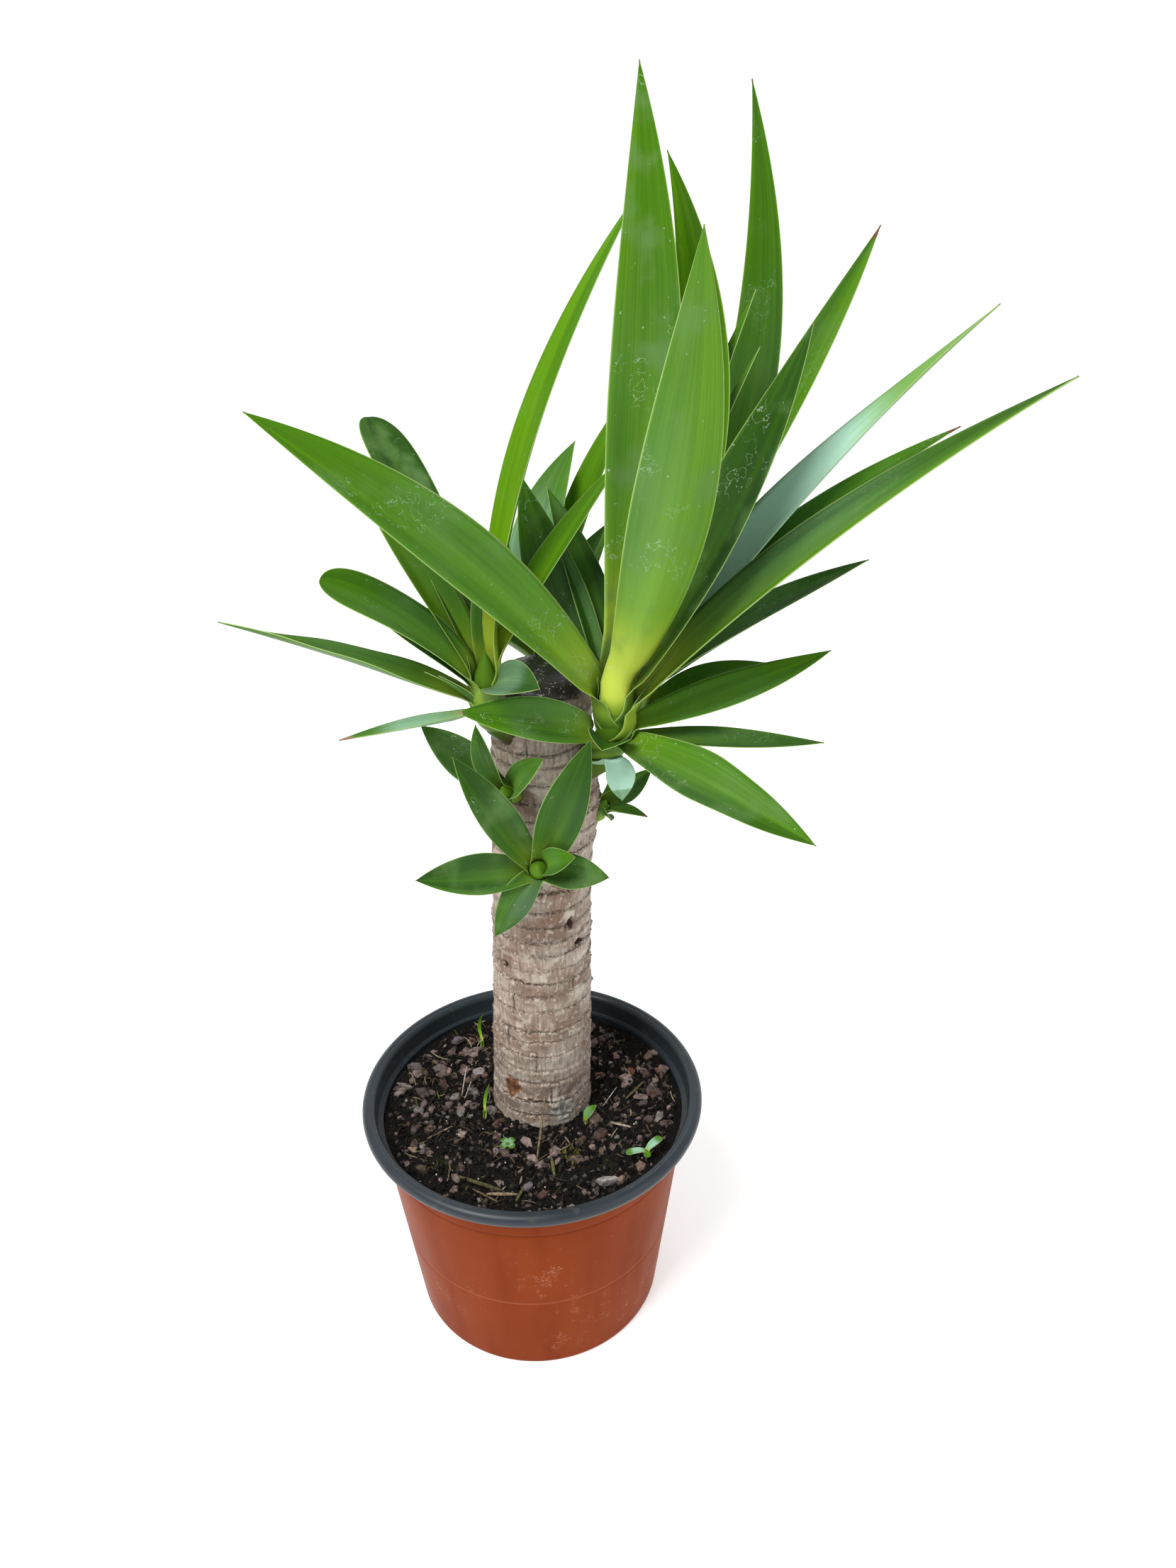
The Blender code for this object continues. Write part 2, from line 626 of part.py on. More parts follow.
def stem_mesh(shoot):
    """A curve with a bevel that thins towards its top, made a mesh."""
    curve = bpy.data.curves.new("stem", "CURVE")
    curve.dimensions = "3D"
    curve.bevel_depth = shoot.radius
    curve.bevel_resolution = 1
    curve.use_fill_caps = True
    spline = curve.splines.new("POLY")
    spline.points.add(len(shoot.stem) - 1)
    for number, (place, point) in enumerate(zip(shoot.stem, spline.points)):
        point.co = (*place, 1)
        point.radius = 1 - STEM_TAPER * (number / (len(shoot.stem) - 1)) ** 2
    obj = bpy.data.objects.new("stem_curve", curve)
    bpy.context.scene.collection.objects.link(obj)
    bpy.context.view_layer.update()
    graph = bpy.context.evaluated_depsgraph_get()
    mesh = bpy.data.meshes.new_from_object(obj.evaluated_get(graph))
    bpy.data.objects.remove(obj)
    form = bmesh.new()
    form.from_mesh(mesh)
    bmesh.ops.remove_doubles(form, verts=form.verts, dist=0.00001)
    bmesh.ops.recalc_face_normals(form, faces=form.faces)
    form.to_mesh(mesh)
    form.free()
    return mesh


def make_shoot(shoot, parts, bark, look):
    """The stem with every leaf of the shoot fused to it, cut clear of the cane."""
    obj = add_object(shoot.name, stem_mesh(shoot), parts)
    leaves = bpy.data.collections.new(shoot.name + "_leaves")
    bpy.context.scene.collection.children.link(leaves)
    for number, leaf in enumerate(shoot.leaves):
        add_object(f"{shoot.name}_leaf_{number}", leaf_mesh(shoot, leaf), leaves, cutter=True)
    boolean(obj, "UNION", leaves)
    boolean(obj, "DIFFERENCE", bark)
    finish(obj, look)
    keep_main_body(obj.data)
    remove_collection(leaves)


def main():
    clear_scene()
    parts = bpy.data.collections.new("potted_yucca")
    cutters = bpy.data.collections.new("cutters")
    for collection in (parts, cutters):
        bpy.context.scene.collection.children.link(collection)
    make_pot(parts, cutters)
    make_cane(parts)
    make_wax(parts)
    make_soil(parts, cutters)
    clearance = cane_mesh("bark_cutter", GAP + SCAR_DEPTH, scars=False)
    bark = add_object("bark_cutter", clearance, cutters, cutter=True)
    look = material("leaf_green", GREEN, 0.42)
    for shoot in SHOOTS:
        make_shoot(shoot, parts, bark, look)


main()
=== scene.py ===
"""Potted yucca: a sawn cane with leafy shoots near its top, in compost in a two-colour nursery pot.

Metres, +Z up. The origin is the centre of the pot's flat underside and +Y is the plant's back.
"""

from collections import namedtuple
import math

import bmesh
import bpy
from mathutils import Matrix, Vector
import numpy as np


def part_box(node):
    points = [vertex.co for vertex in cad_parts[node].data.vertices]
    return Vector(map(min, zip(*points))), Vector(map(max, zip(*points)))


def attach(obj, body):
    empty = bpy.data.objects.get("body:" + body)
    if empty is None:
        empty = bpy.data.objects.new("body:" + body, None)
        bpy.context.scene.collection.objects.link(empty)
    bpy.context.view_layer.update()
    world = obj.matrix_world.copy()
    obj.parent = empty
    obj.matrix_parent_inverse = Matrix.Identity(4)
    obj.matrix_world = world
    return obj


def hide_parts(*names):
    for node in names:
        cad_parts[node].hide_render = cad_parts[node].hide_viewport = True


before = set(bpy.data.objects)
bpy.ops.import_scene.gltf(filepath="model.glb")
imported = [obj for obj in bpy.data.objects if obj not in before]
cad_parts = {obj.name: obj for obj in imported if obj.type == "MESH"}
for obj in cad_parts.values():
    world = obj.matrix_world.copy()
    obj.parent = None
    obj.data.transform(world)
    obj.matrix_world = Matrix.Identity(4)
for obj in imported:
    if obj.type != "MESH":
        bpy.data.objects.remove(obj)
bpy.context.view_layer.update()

# The nursery pot
# A thin pot moulded from two layers of plastic, terracotta outside and slate grey inside. The grey
# layer is rolled outwards at the rim into a bead with a groove. Drain holes open in a raised
# channel under the floor.

POT_RIM_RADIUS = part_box("pot")[1][0]
POT_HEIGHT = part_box("pot")[1][2]
POT_NECK_RADIUS = 0.0766
POT_FOOT_RADIUS = 0.0635
POT_WALL = 0.0011
POT_FLOOR = 0.0015
POT_FOOT_ROUNDING = 0.0016
POT_LEDGE_HEIGHT = POT_HEIGHT - 0.011
POT_COLLAR_RADIUS = POT_NECK_RADIUS + 0.0024
LEDGE_ROUNDING = 0.0005
COLLAR_ROUNDING = 0.0006
BEAD_RADIUS = 0.0034
BEAD_GROOVE = 0.00042
# In degrees round the bead's section, with 90 at its top.
BEAD_GROOVE_AT = 104
BEAD_GROOVE_SPREAD = 11
CHANNEL_HEIGHT = 0.0025
CHANNEL_INNER = 0.034
CHANNEL_OUTER = 0.051
DRAIN_HOLES = 8
DRAIN_HOLE_RADIUS = 0.0045
DRAIN_PEG_SPAN = (0.0005, 0.0065)
DRAIN_PEG_SIDES = 24
MOULD_LINES = (0.1035, 0.0505)
MOULD_LINE_WIDTH = 0.0005
MOULD_LINE_DEPTH = 0.00035
POT_SIDES = 160
POINT_MERGE = 0.000001
SHARP_ANGLE = 50


def arc(centre, radius, start, end, count):
    """Points of a circle in a profile: centre + radius (cos a, sin a), a from start to end in degrees."""
    angle = np.radians(np.linspace(start, end, count))
    return np.column_stack([centre[0] + radius * np.cos(angle), centre[1] + radius * np.sin(angle)])


def circle(count):
    """Angles in that many even steps once round."""
    return np.linspace(0, 2 * np.pi, count, endpoint=False)


def turned(profile, sides):
    """A grid of points: each (radius, height) of the profile becomes a ring (r cos a, r sin a, height)."""
    angle = circle(sides)
    radius, height = profile[:, :1], profile[:, 1:]
    return np.stack([radius * np.cos(angle), radius * np.sin(angle), height + 0 * angle], axis=-1)


def lofted(name, grids):
    """A closed mesh from grids of points, whose rows are rings, joined in order and capped at both ends."""
    faces = []
    start = 0
    for grid in grids:
        corner = start + np.arange(grid.shape[0] * grid.shape[1]).reshape(grid.shape[:2])
        beside = np.roll(corner, -1, axis=1)
        quads = np.stack([corner[:-1], beside[:-1], beside[1:], corner[1:]], axis=-1).reshape(-1, 4)
        faces += quads.tolist() + [corner[0, ::-1].tolist(), corner[-1].tolist()]
        start += corner.size
    mesh = bpy.data.meshes.new(name)
    points = np.concatenate([grid.reshape(-1, 3) for grid in grids])
    mesh.from_pydata(points.tolist(), [], faces)
    return mesh


def turn_outwards(mesh, merge=0.0):
    """Joins points that lie closer than merge and turns each face outwards."""
    form = bmesh.new()
    form.from_mesh(mesh)
    if merge:
        bmesh.ops.remove_doubles(form, verts=form.verts, dist=merge)
    bmesh.ops.recalc_face_normals(form, faces=form.faces)
    form.to_mesh(mesh)
    form.free()


def add_object(name, data):
    """An object of the scene that shows the data and sits at the origin."""
    made = bpy.data.objects.new(name, data)
    bpy.context.scene.collection.objects.link(made)
    return made


def add_piece(mesh, material, node=None, smooth=True):
    """An object for the mesh with its faces outwards, riding on the root and standing for a node."""
    turn_outwards(mesh)
    if smooth:
        mesh.shade_smooth()
    mesh.materials.append(material)
    piece = add_object(mesh.name, mesh)
    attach(piece, "root")
    if node:
        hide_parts(node)
    return piece


def add_node(kind, inputs, tree=None, **settings):
    """A shader node: each input takes a value or another node's output, and settings are its properties.

    It goes into the given tree, or else into the tree of the outputs that it takes.
    """
    if tree is None:
        tree = next(value.id_data for value in inputs.values() if isinstance(value, bpy.types.NodeSocket))
    made = tree.nodes.new("ShaderNode" + kind)
    for name, value in settings.items():
        setattr(made, name, value)
    for name, value in inputs.items():
        if isinstance(value, bpy.types.NodeSocket):
            tree.links.new(value, made.inputs[name])
        else:
            made.inputs[name].default_value = value
    return made


def new_material(name, roughness, gloss=0.5):
    """A material with its Principled shader and the object's own coordinates."""
    material = bpy.data.materials.new(name)
    material.use_nodes = True
    shader = material.node_tree.nodes["Principled BSDF"]
    shader.inputs["Roughness"].default_value = roughness
    shader.inputs["Specular IOR Level"].default_value = gloss
    place = add_node("TexCoord", {}, material.node_tree).outputs["Object"]
    return material, shader, place


def noise(place, scale, detail=3.0, stretch=(1, 1, 1)):
    """Noise from 0 to 1 on those coordinates, of that scale per metre, stretched along each axis."""
    if stretch != (1, 1, 1):
        place = add_node("Mapping", {"Vector": place, "Scale": stretch}).outputs[0]
    return add_node("TexNoise", {"Vector": place, "Scale": scale, "Detail": detail}).outputs["Fac"]


def step(value, low, high, start=0.0, end=1.0):
    """A smooth step of the value: start below low, end above high."""
    inputs = {"Value": value, "From Min": low, "From Max": high, "To Min": start, "To Max": end}
    return add_node("MapRange", inputs, interpolation_type="SMOOTHSTEP").outputs[0]


def maths(operation, first, second=0.0):
    """The result of one node that works on two numbers."""
    return add_node("Math", {0: first, 1: second}, operation=operation).outputs[0]


def times(product, *others):
    """All the values multiplied."""
    for other in others:
        product = maths("MULTIPLY", product, other)
    return product


def plus(total, *others):
    """All the values added."""
    for other in others:
        total = maths("ADD", total, other)
    return total


def apart(first, second):
    """How far one value is from the other."""
    return maths("ABSOLUTE", maths("SUBTRACT", first, second))


def colour_of(colour):
    """A colour written as three numbers gets its fourth, and a node's output stays as it is."""
    return (*colour, 1.0) if isinstance(colour, tuple) else colour


def blend(factor, under, over, mode="MIX"):
    """Two colours mixed by the factor: under where it is 0, over where it is 1."""
    inputs = {0: factor, 6: colour_of(under), 7: colour_of(over)}
    return add_node("Mix", inputs, data_type="RGBA", blend_type=mode).outputs[2]


def layered(colour, *layers):
    """The colour with each layer, a factor and a colour of its own, laid over it in turn."""
    for factor, over in layers:
        colour = blend(factor, colour, over)
    return colour


def finish(shader, colour, relief, depth, strength, roughness=None):
    """Wires the shader's colour, its roughness and a relief whose height of 1 is that depth in metres."""
    bump = add_node("Bump", {"Height": relief, "Distance": depth, "Strength": strength}).outputs[0]
    for name, output in (("Base Color", colour), ("Normal", bump), ("Roughness", roughness)):
        if output is not None:
            shader.id_data.links.new(output, shader.inputs[name])


def wall_radius(height):
    """Outer radius of the tapered wall, straight from its foot to the ledge."""
    return POT_FOOT_RADIUS + (POT_NECK_RADIUS - POT_FOOT_RADIUS) * height / POT_LEDGE_HEIGHT


def outer_wall(count):
    """The outside of the wall from under the ledge to the foot, with each mould line as a fine dip."""
    height = np.linspace(POT_LEDGE_HEIGHT - POT_WALL, 0.002, count)
    dip = sum(np.exp(-(((height - line) / MOULD_LINE_WIDTH) ** 2)) for line in MOULD_LINES)
    return np.column_stack([wall_radius(height) - MOULD_LINE_DEPTH * dip, height])


bead_centre = (POT_RIM_RADIUS - BEAD_RADIUS, POT_HEIGHT - BEAD_RADIUS)
bead_span = (180, -92, 40)
bead = arc(bead_centre, BEAD_RADIUS, *bead_span)
groove = BEAD_GROOVE * np.exp(-(((np.linspace(*bead_span) - BEAD_GROOVE_AT) / BEAD_GROOVE_SPREAD) ** 2))
bead -= groove[:, None] * (bead - bead_centre) / BEAD_RADIUS
collar_bend = (POT_COLLAR_RADIUS - POT_WALL - COLLAR_ROUNDING, POT_LEDGE_HEIGHT + 0.001)
pot_profile = np.concatenate(
    [
        [(0, POT_FLOOR), (CHANNEL_INNER - POT_WALL, POT_FLOOR)],
        [(CHANNEL_INNER, POT_FLOOR + CHANNEL_HEIGHT), (CHANNEL_OUTER, POT_FLOOR + CHANNEL_HEIGHT)],
        [(CHANNEL_OUTER + POT_WALL, POT_FLOOR), (POT_FOOT_RADIUS - 2 * POT_WALL, POT_FLOOR)],
        [(wall_radius(0.004) - POT_WALL, 0.004), (wall_radius(0.09) - POT_WALL, 0.09)],
        arc((POT_NECK_RADIUS - POT_WALL - 0.0004, POT_LEDGE_HEIGHT), LEDGE_ROUNDING, 0, 80, 5),
        arc(collar_bend, COLLAR_ROUNDING, -80, 0, 5),
        bead,
        [(POT_COLLAR_RADIUS, bead_centre[1] - BEAD_RADIUS - 0.0002)],
        [(POT_COLLAR_RADIUS, POT_LEDGE_HEIGHT - 0.0001)],
        outer_wall(150),
        arc((POT_FOOT_RADIUS - POT_FOOT_ROUNDING, POT_FOOT_ROUNDING), POT_FOOT_ROUNDING, -8, -88, 6),
        [(CHANNEL_OUTER + POT_WALL, 0), (CHANNEL_OUTER, CHANNEL_HEIGHT)],
        [(CHANNEL_INNER, CHANNEL_HEIGHT), (CHANNEL_INNER - POT_WALL, 0), (0, 0)],
    ]
)

terracotta, shader, place = new_material("terracotta_plastic", 0.28, 0.02)
clouds = noise(place, 22, 4)
flow = noise(place, 60, 5, (1, 1, 0.15))
scratch = apart(noise(place, 230, 2, (1, 1, 2.6)), 0.5)
scuffed = times(step(scratch, 0.004, 0.011, 1, 0), step(clouds, 0.52, 0.64))
scuffed = times(scuffed, step(noise(place, 120, 2), 0.5, 0.6))
specks = step(noise(place, 900, 1), 0.78, 0.82)
marks = maths("MAXIMUM", scuffed, times(specks, 0.6))
level = add_node("SeparateXYZ", {0: place}).outputs["Z"]
# The upper mould line is painted dark, as painted shade in its groove, and a pale line is painted along the
# lower one.
on_line = [step(apart(level, line), 0.0002, 0.0008, 0.4, 0) for line in MOULD_LINES]
colour = layered(
    blend(clouds, (0.165, 0.026, 0.006), (0.245, 0.047, 0.009)),
    (step(flow, 0.45, 0.75, 0, 0.35), (0.125, 0.016, 0.005)),
    (times(marks, 0.55), (0.8, 0.45, 0.34)),
    # painted shade in the upper mould line's groove
    (on_line[0], (0.07, 0.012, 0.004)),
    (on_line[1], (0.4, 0.13, 0.07)),
)
finish(shader, colour, plus(flow, times(marks, 0.5)), 0.00012, 0.5, step(flow, 0.2, 0.8, 0.3, 0.44))

slate, shader, place = new_material("slate_plastic", 0.36, 0.3)
dusty = noise(place, 45, 5)
dirt = step(noise(place, 160, 4), 0.6, 0.72, 0, 0.5)
colour = layered(blend(dusty, (0.014, 0.019, 0.024), (0.028, 0.038, 0.047)), (dirt, (0.06, 0.062, 0.06)))
finish(shader, colour, noise(place, 240, 3), 0.0001, 0.4, step(dusty, 0.3, 0.75, 0.28, 0.46))


def drilled(mesh, drill_mesh):
    """The mesh with the closed drill shapes cut out of it, and its edges kept crisp."""
    body = add_object(mesh.name, mesh)
    drill = add_object(drill_mesh.name, drill_mesh)
    cut = body.modifiers.new("drain", "BOOLEAN")
    cut.operation = "DIFFERENCE"
    cut.object = drill
    bpy.context.view_layer.update()
    result = bpy.data.meshes.new_from_object(body.evaluated_get(bpy.context.evaluated_depsgraph_get()))
    bpy.data.objects.remove(body)
    bpy.data.objects.remove(drill)
    result.set_sharp_from_angle(angle=math.radians(SHARP_ANGLE))
    return result


pot_shell = lofted("nursery_pot", [turned(pot_profile, POT_SIDES)])
turn_outwards(pot_shell, POINT_MERGE)
hole_angle = 2 * np.pi * (np.arange(DRAIN_HOLES) + 0.5) / DRAIN_HOLES
hole_reach = (CHANNEL_INNER + CHANNEL_OUTER) / 2
hole_pegs = [
    turned(np.array([(DRAIN_HOLE_RADIUS, level) for level in DRAIN_PEG_SPAN]), DRAIN_PEG_SIDES)
    + (hole_reach * math.cos(where), hole_reach * math.sin(where), 0)
    for where in hole_angle
]
pegs = lofted("drain_pegs", hole_pegs)
turn_outwards(pegs)
pot = add_piece(drilled(pot_shell, pegs), slate, "pot")
pot.data.materials.append(terracotta)


def per_face(mesh, name):
    """Three rows of numbers: the x, y and z of each face's centre or normal, whichever is named."""
    values = np.empty((len(mesh.polygons), 3))
    mesh.polygons.foreach_get(name, values.ravel())
    return values.T


# Terracotta shows on the outside up to the bead and under the floor, slate everywhere else.
face_x, face_y, face_height = per_face(pot.data, "center")
facing_up = per_face(pot.data, "normal")[2]
wall_here = np.where(face_height > POT_LEDGE_HEIGHT - POT_WALL, POT_COLLAR_RADIUS, wall_radius(face_height))
outside = np.hypot(face_x, face_y) > wall_here - POT_WALL / 2
outside &= face_height < bead_centre[1] - 0.9 * BEAD_RADIUS
outside |= face_height < POT_FLOOR / 2
outside |= (facing_up < -0.1) & (face_height < 2 * CHANNEL_HEIGHT)
pot.data.polygons.foreach_set("material_index", outside.astype(np.int32))

# The compost
# Dark fibrous compost, filled to a finger's width under the rim and a little higher along the wall.
# Bark chips, crumbs, perlite and dry plant fibres lie loose on it.

SOIL_TOP = 0.108
SOIL_EDGE_RISE = 0.0042
SOIL_RELIEF = 0.0016
SOIL_SIDES = 400
SOIL_ROWS = 130
SOIL_GAP = 0.0002
# Size, height and seed of each kind of clod.
SOIL_CLODS = ((0.0075, 0.001, 11), (0.0034, 0.0007, 12), (0.0015, 0.00045, 13))
LATTICE_ROWS = 64
CANE_FOOT_PLACE = (0.004, 0.014)
CANE_FOOT_REACH = 0.024
LITTER_MARGIN = 0.003


def lattice_noise(u, v, columns, seed):
    """Random heights from -1 to 1 on whole numbers, smoothly blended, that repeat after those columns."""
    heights = np.random.default_rng(seed).uniform(-1, 1, (columns, LATTICE_ROWS))
    column, row = np.floor(u).astype(int), np.floor(v).astype(int)
    across, up = u - column, v - row
    across, up = across**2 * (3 - 2 * across), up**2 * (3 - 2 * up)

    def corner(right, above):
        return heights[(column + right) % columns, (row + above) % LATTICE_ROWS]

    low = corner(0, 0) * (1 - across) + corner(1, 0) * across
    high = corner(0, 1) * (1 - across) + corner(1, 1) * across
    return low * (1 - up) + high * up


def soil_height(x, y):
    """The surface: the frame's two long waves and rise towards the wall, with clods of three sizes."""
    waves = np.sin(95 * x + 0.5) * np.sin(88 * y + 1.1) + 0.6 * np.sin(190 * x - 160 * y)
    reach = np.minimum(np.hypot(x, y) / POT_NECK_RADIUS, 1)
    height = SOIL_TOP + SOIL_RELIEF * waves * (1 - 0.5 * reach) + SOIL_EDGE_RISE * reach**2
    clods = (deep * lattice_noise(x / size, y / size, LATTICE_ROWS, seed) for size, deep, seed in SOIL_CLODS)
    return height + sum(clods)


def inner_wall(height):
    """How far the compost reaches at that height, a hair short of the pot's inside."""
    return wall_radius(height) - POT_WALL - SOIL_GAP


soil_edge = SOIL_TOP + SOIL_EDGE_RISE
angle = circle(SOIL_SIDES)
reach = inner_wall(soil_edge) * np.linspace(1, 0.003, SOIL_ROWS)[:, None]
x, y = reach * np.cos(angle), reach * np.sin(angle)
surface = np.stack([x, y, soil_height(x, y)], axis=-1)
soil_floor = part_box("soil")[0][2]
below = turned(np.array([(inner_wall(soil_floor), soil_floor), (inner_wall(0.1), 0.1)]), SOIL_SIDES)

compost, shader, place = new_material("compost", 0.93, 0.08)
colour = layered(
    blend(noise(place, 500, 6), (0.003, 0.0026, 0.0024), (0.012, 0.01, 0.009)),
    (step(noise(place, 1300, 3), 0.6, 0.72, 0, 0.8), (0.08, 0.062, 0.05)),
    (step(noise(place, 70, 5), 0.6, 0.7, 0, 0.35), (0.022, 0.032, 0.008)),
)
finish(shader, colour, noise(place, 900, 6), 0.0012, 0.9)
add_piece(lofted("compost_bed", [np.concatenate([below, surface])]), compost, "soil")


def paint(piece, name, values):
    """Stores a colour for each point of the mesh, for the material to read."""
    values = np.column_stack([values, np.ones(len(values))]).astype(np.float32)
    piece.data.attributes.new(name, "FLOAT_COLOR", "POINT").data.foreach_set("color", values.ravel())


def turns(heading, tilt, lean):
    """Rotation matrices: first a lean about X, then a tilt about Y, then the heading about Z."""
    c, s, zero, one = np.cos, np.sin, 0 * heading, 0 * heading + 1
    about_z = np.array([[c(heading), -s(heading), zero], [s(heading), c(heading), zero], [zero, zero, one]])
    about_y = np.array([[c(tilt), zero, s(tilt)], [zero, one, zero], [-s(tilt), zero, c(tilt)]])
    about_x = np.array([[one, zero, zero], [zero, c(lean), -s(lean)], [zero, s(lean), c(lean)]])
    return np.einsum("ijn,jkn,kln->nil", about_z, about_y, about_x)


def scattered(rng, count, nearest=0.0):
    """Seeded places on the compost, even over its area and clear of the cane."""
    reach = np.sqrt(rng.uniform(0, 1, 3 * count)) * (inner_wall(soil_edge) - LITTER_MARGIN)
    angle = rng.uniform(0, 2 * np.pi, 3 * count)
    x, y = reach * np.cos(angle), reach * np.sin(angle)
    clear = np.hypot(x - CANE_FOOT_PLACE[0], y - CANE_FOOT_PLACE[1]) > CANE_FOOT_REACH + nearest
    return x[clear][:count], y[clear][:count]


def flakes(rng, x, y, sizes, corners, sink, max_tilt, heading=None):
    """Broken pieces: each is a ragged outline in four rings, pinched above and below, turned and half sunk.

    sizes holds each piece's length, width and thickness.
    """
    count = len(x)
    angle = circle(corners) + rng.uniform(-0.3, 0.3, (count, corners))
    outline = rng.uniform(0.62, 1.0, (count, corners)) / 2
    height = np.array([-0.5, -0.3, 0.3, 0.5])[:, None]
    pinch = np.array([0.55, 1.0, 0.94, 0.72])[:, None]
    along = (outline * np.cos(angle))[:, None] * pinch * sizes[:, None, None, 0]
    across = (outline * np.sin(angle))[:, None] * pinch * sizes[:, None, None, 1]
    upward = (height + rng.uniform(-0.12, 0.12, (count, 4, corners))) * sizes[:, None, None, 2]
    heading = rng.uniform(0, 2 * np.pi, count) if heading is None else heading
    tilt, lean = rng.uniform(-max_tilt, max_tilt, (2, count))
    grid = np.einsum("nij,nrcj->nrci", turns(heading, tilt, lean), np.stack([along, across, upward], axis=-1))
    level = soil_height(x, y) + (0.5 - sink) * sizes[:, 2]
    return grid + np.stack([x, y, level], axis=-1)[:, None, None]


def tints(rng, count, palette, spread):
    """A colour from the palette for each piece, a little lighter or darker."""
    chosen = np.array(palette)[rng.integers(0, len(palette), count)]
    return chosen * rng.uniform(1 - spread, 1 + spread, (count, 1))


def painted(shader, name):
    """The colour that paint stored under that name, for the shader's material to read."""
    return add_node("Attribute", {}, shader.id_data, attribute_name=name).outputs["Color"]


def loose_material(name, roughness, fine, relief):
    """A material that takes its colour from the painted one, mottled, with a rough grain."""
    material, shader, place = new_material(name, roughness, 0.15)
    own = painted(shader, "tint")
    dark = blend(1.0, own, (0.45, 0.42, 0.4), "MULTIPLY")
    colour = blend(step(noise(place, fine, 5), 0.35, 0.62), dark, own)
    finish(shader, colour, noise(place, 2 * fine, 4), relief, 0.7)
    return material


def add_litter(name, grids, material, colours, smooth=False):
    """One piece of loose bits, each a closed grid of points with a colour of its own."""
    litter = add_piece(lofted(name, grids), material, smooth=smooth)
    paint(litter, "tint", np.repeat(colours, grids[0][..., 0].size, axis=0))


CHIPS = 330
CHIP_COLOURS = (
    (0.15, 0.108, 0.105),
    (0.2, 0.15, 0.14),
    (0.105, 0.08, 0.078),
    (0.16, 0.11, 0.09),
    (0.25, 0.19, 0.17),
    (0.1, 0.06, 0.048),
    (0.19, 0.175, 0.165),
)
rng = np.random.default_rng(21)
x, y = scattered(rng, CHIPS, 0.002)
# Fewer and smaller chips lie in front, where the compost shows.
front = np.clip(-y / 0.05, 0, 1)
length = 0.003 + 0.0082 * rng.uniform(0, 1, CHIPS) ** (1.6 + 1.6 * front)
sizes = np.column_stack([length, length * rng.uniform(0.5, 0.85, CHIPS), 0.0009 + 0.11 * length])
keep = rng.uniform(0, 1, CHIPS) > 0.45 * front
x, y, sizes = x[keep], y[keep], sizes[keep]
chips = flakes(rng, x, y, sizes, 5, 0.25, 0.5)
chip_bark = loose_material("bark_chip", 0.78, 420, 0.0004)
add_litter("bark_chips", chips, chip_bark, tints(rng, len(x), CHIP_COLOURS, 0.35))

CRUMBS = 2200
CRUMB_COLOURS = (
    (0.004, 0.004, 0.004),
    (0.008, 0.007, 0.006),
    (0.024, 0.019, 0.016),
    (0.08, 0.064, 0.057),
)
x, y = scattered(rng, CRUMBS)
length = rng.uniform(0.0008, 0.0034, CRUMBS)
sizes = np.column_stack([length, 0.8 * length, 0.65 * length])
crumbs = flakes(rng, x, y, sizes, 5, 0.2, 0.9)
dark_crumb = loose_material("soil_crumb", 0.92, 900, 0.0003)
add_litter("soil_crumbs", crumbs, dark_crumb, tints(rng, CRUMBS, CRUMB_COLOURS, 0.3))

PERLITE = 70
PERLITE_COLOURS = ((0.8, 0.78, 0.72), (0.62, 0.58, 0.5))
x, y = scattered(rng, PERLITE)
sizes = rng.uniform(0.0005, 0.0012, (PERLITE, 1)) * np.array([1, 0.9, 0.8])
grains = flakes(rng, x, y, sizes, 6, 0.1, 0.9)
white_grain = loose_material("perlite", 0.85, 1500, 0.0001)
add_litter("perlite_grains", grains, white_grain, tints(rng, PERLITE, PERLITE_COLOURS, 0.1), smooth=True)


def strand(points, radius, sides=6):
    """A closed tube along points: rings about the tangent, thick in the middle and fine at both ends."""
    tangent = np.gradient(points, axis=0)
    tangent /= np.linalg.norm(tangent, axis=1, keepdims=True)
    across = np.cross(tangent, (0.03, 0.02, 1.0))
    across /= np.linalg.norm(across, axis=1, keepdims=True)
    over = np.cross(across, tangent)
    angle = circle(sides)[None, :, None]
    share = np.linspace(0, 1, len(points))[:, None, None]
    taper = radius * (0.35 + 0.65 * np.sin(np.pi * share) ** 0.5)
    return points[:, None] + taper * (np.cos(angle) * across[:, None] + np.sin(angle) * over[:, None])


FIBRES = 260
FIBRE_COLOURS = (
    (0.11, 0.075, 0.048),
    (0.19, 0.145, 0.095),
    (0.05, 0.034, 0.024),
    (0.3, 0.25, 0.17),
    (0.07, 0.068, 0.026),
    (0.035, 0.026, 0.02),
)
x, y = scattered(rng, FIBRES, 0.001)
heading = rng.uniform(0, np.pi, FIBRES)
length = 0.003 + 0.01 * rng.uniform(0, 1, FIBRES) ** 2.5
radius = rng.uniform(0.00015, 0.0005, FIBRES)
lift = rng.uniform(0.0, 0.0022, FIBRES)
share = np.linspace(-0.5, 0.5, 8)
fibres = []
for number in range(FIBRES):
    bend = heading[number] + 0.5 * share * math.sin(7 * number)
    line_x = x[number] + length[number] * share * np.cos(bend)
    line_y = y[number] + length[number] * share * np.sin(bend)
    line_z = soil_height(line_x, line_y).mean() + 0.0004 + lift[number] * (0.5 + share)
    fibres.append(strand(np.column_stack([line_x, line_y, line_z + 0 * share]), radius[number]))
dry_fibre = loose_material("dry_fibre", 0.8, 1100, 0.0001)
add_litter("plant_fibres", fibres, dry_fibre, tints(rng, FIBRES, FIBRE_COLOURS, 0.25), smooth=True)

# The litter
# Larger scraps that lie about the cane: bark chips, a grey splinter, straws and stalks, and a clump of
# moss.

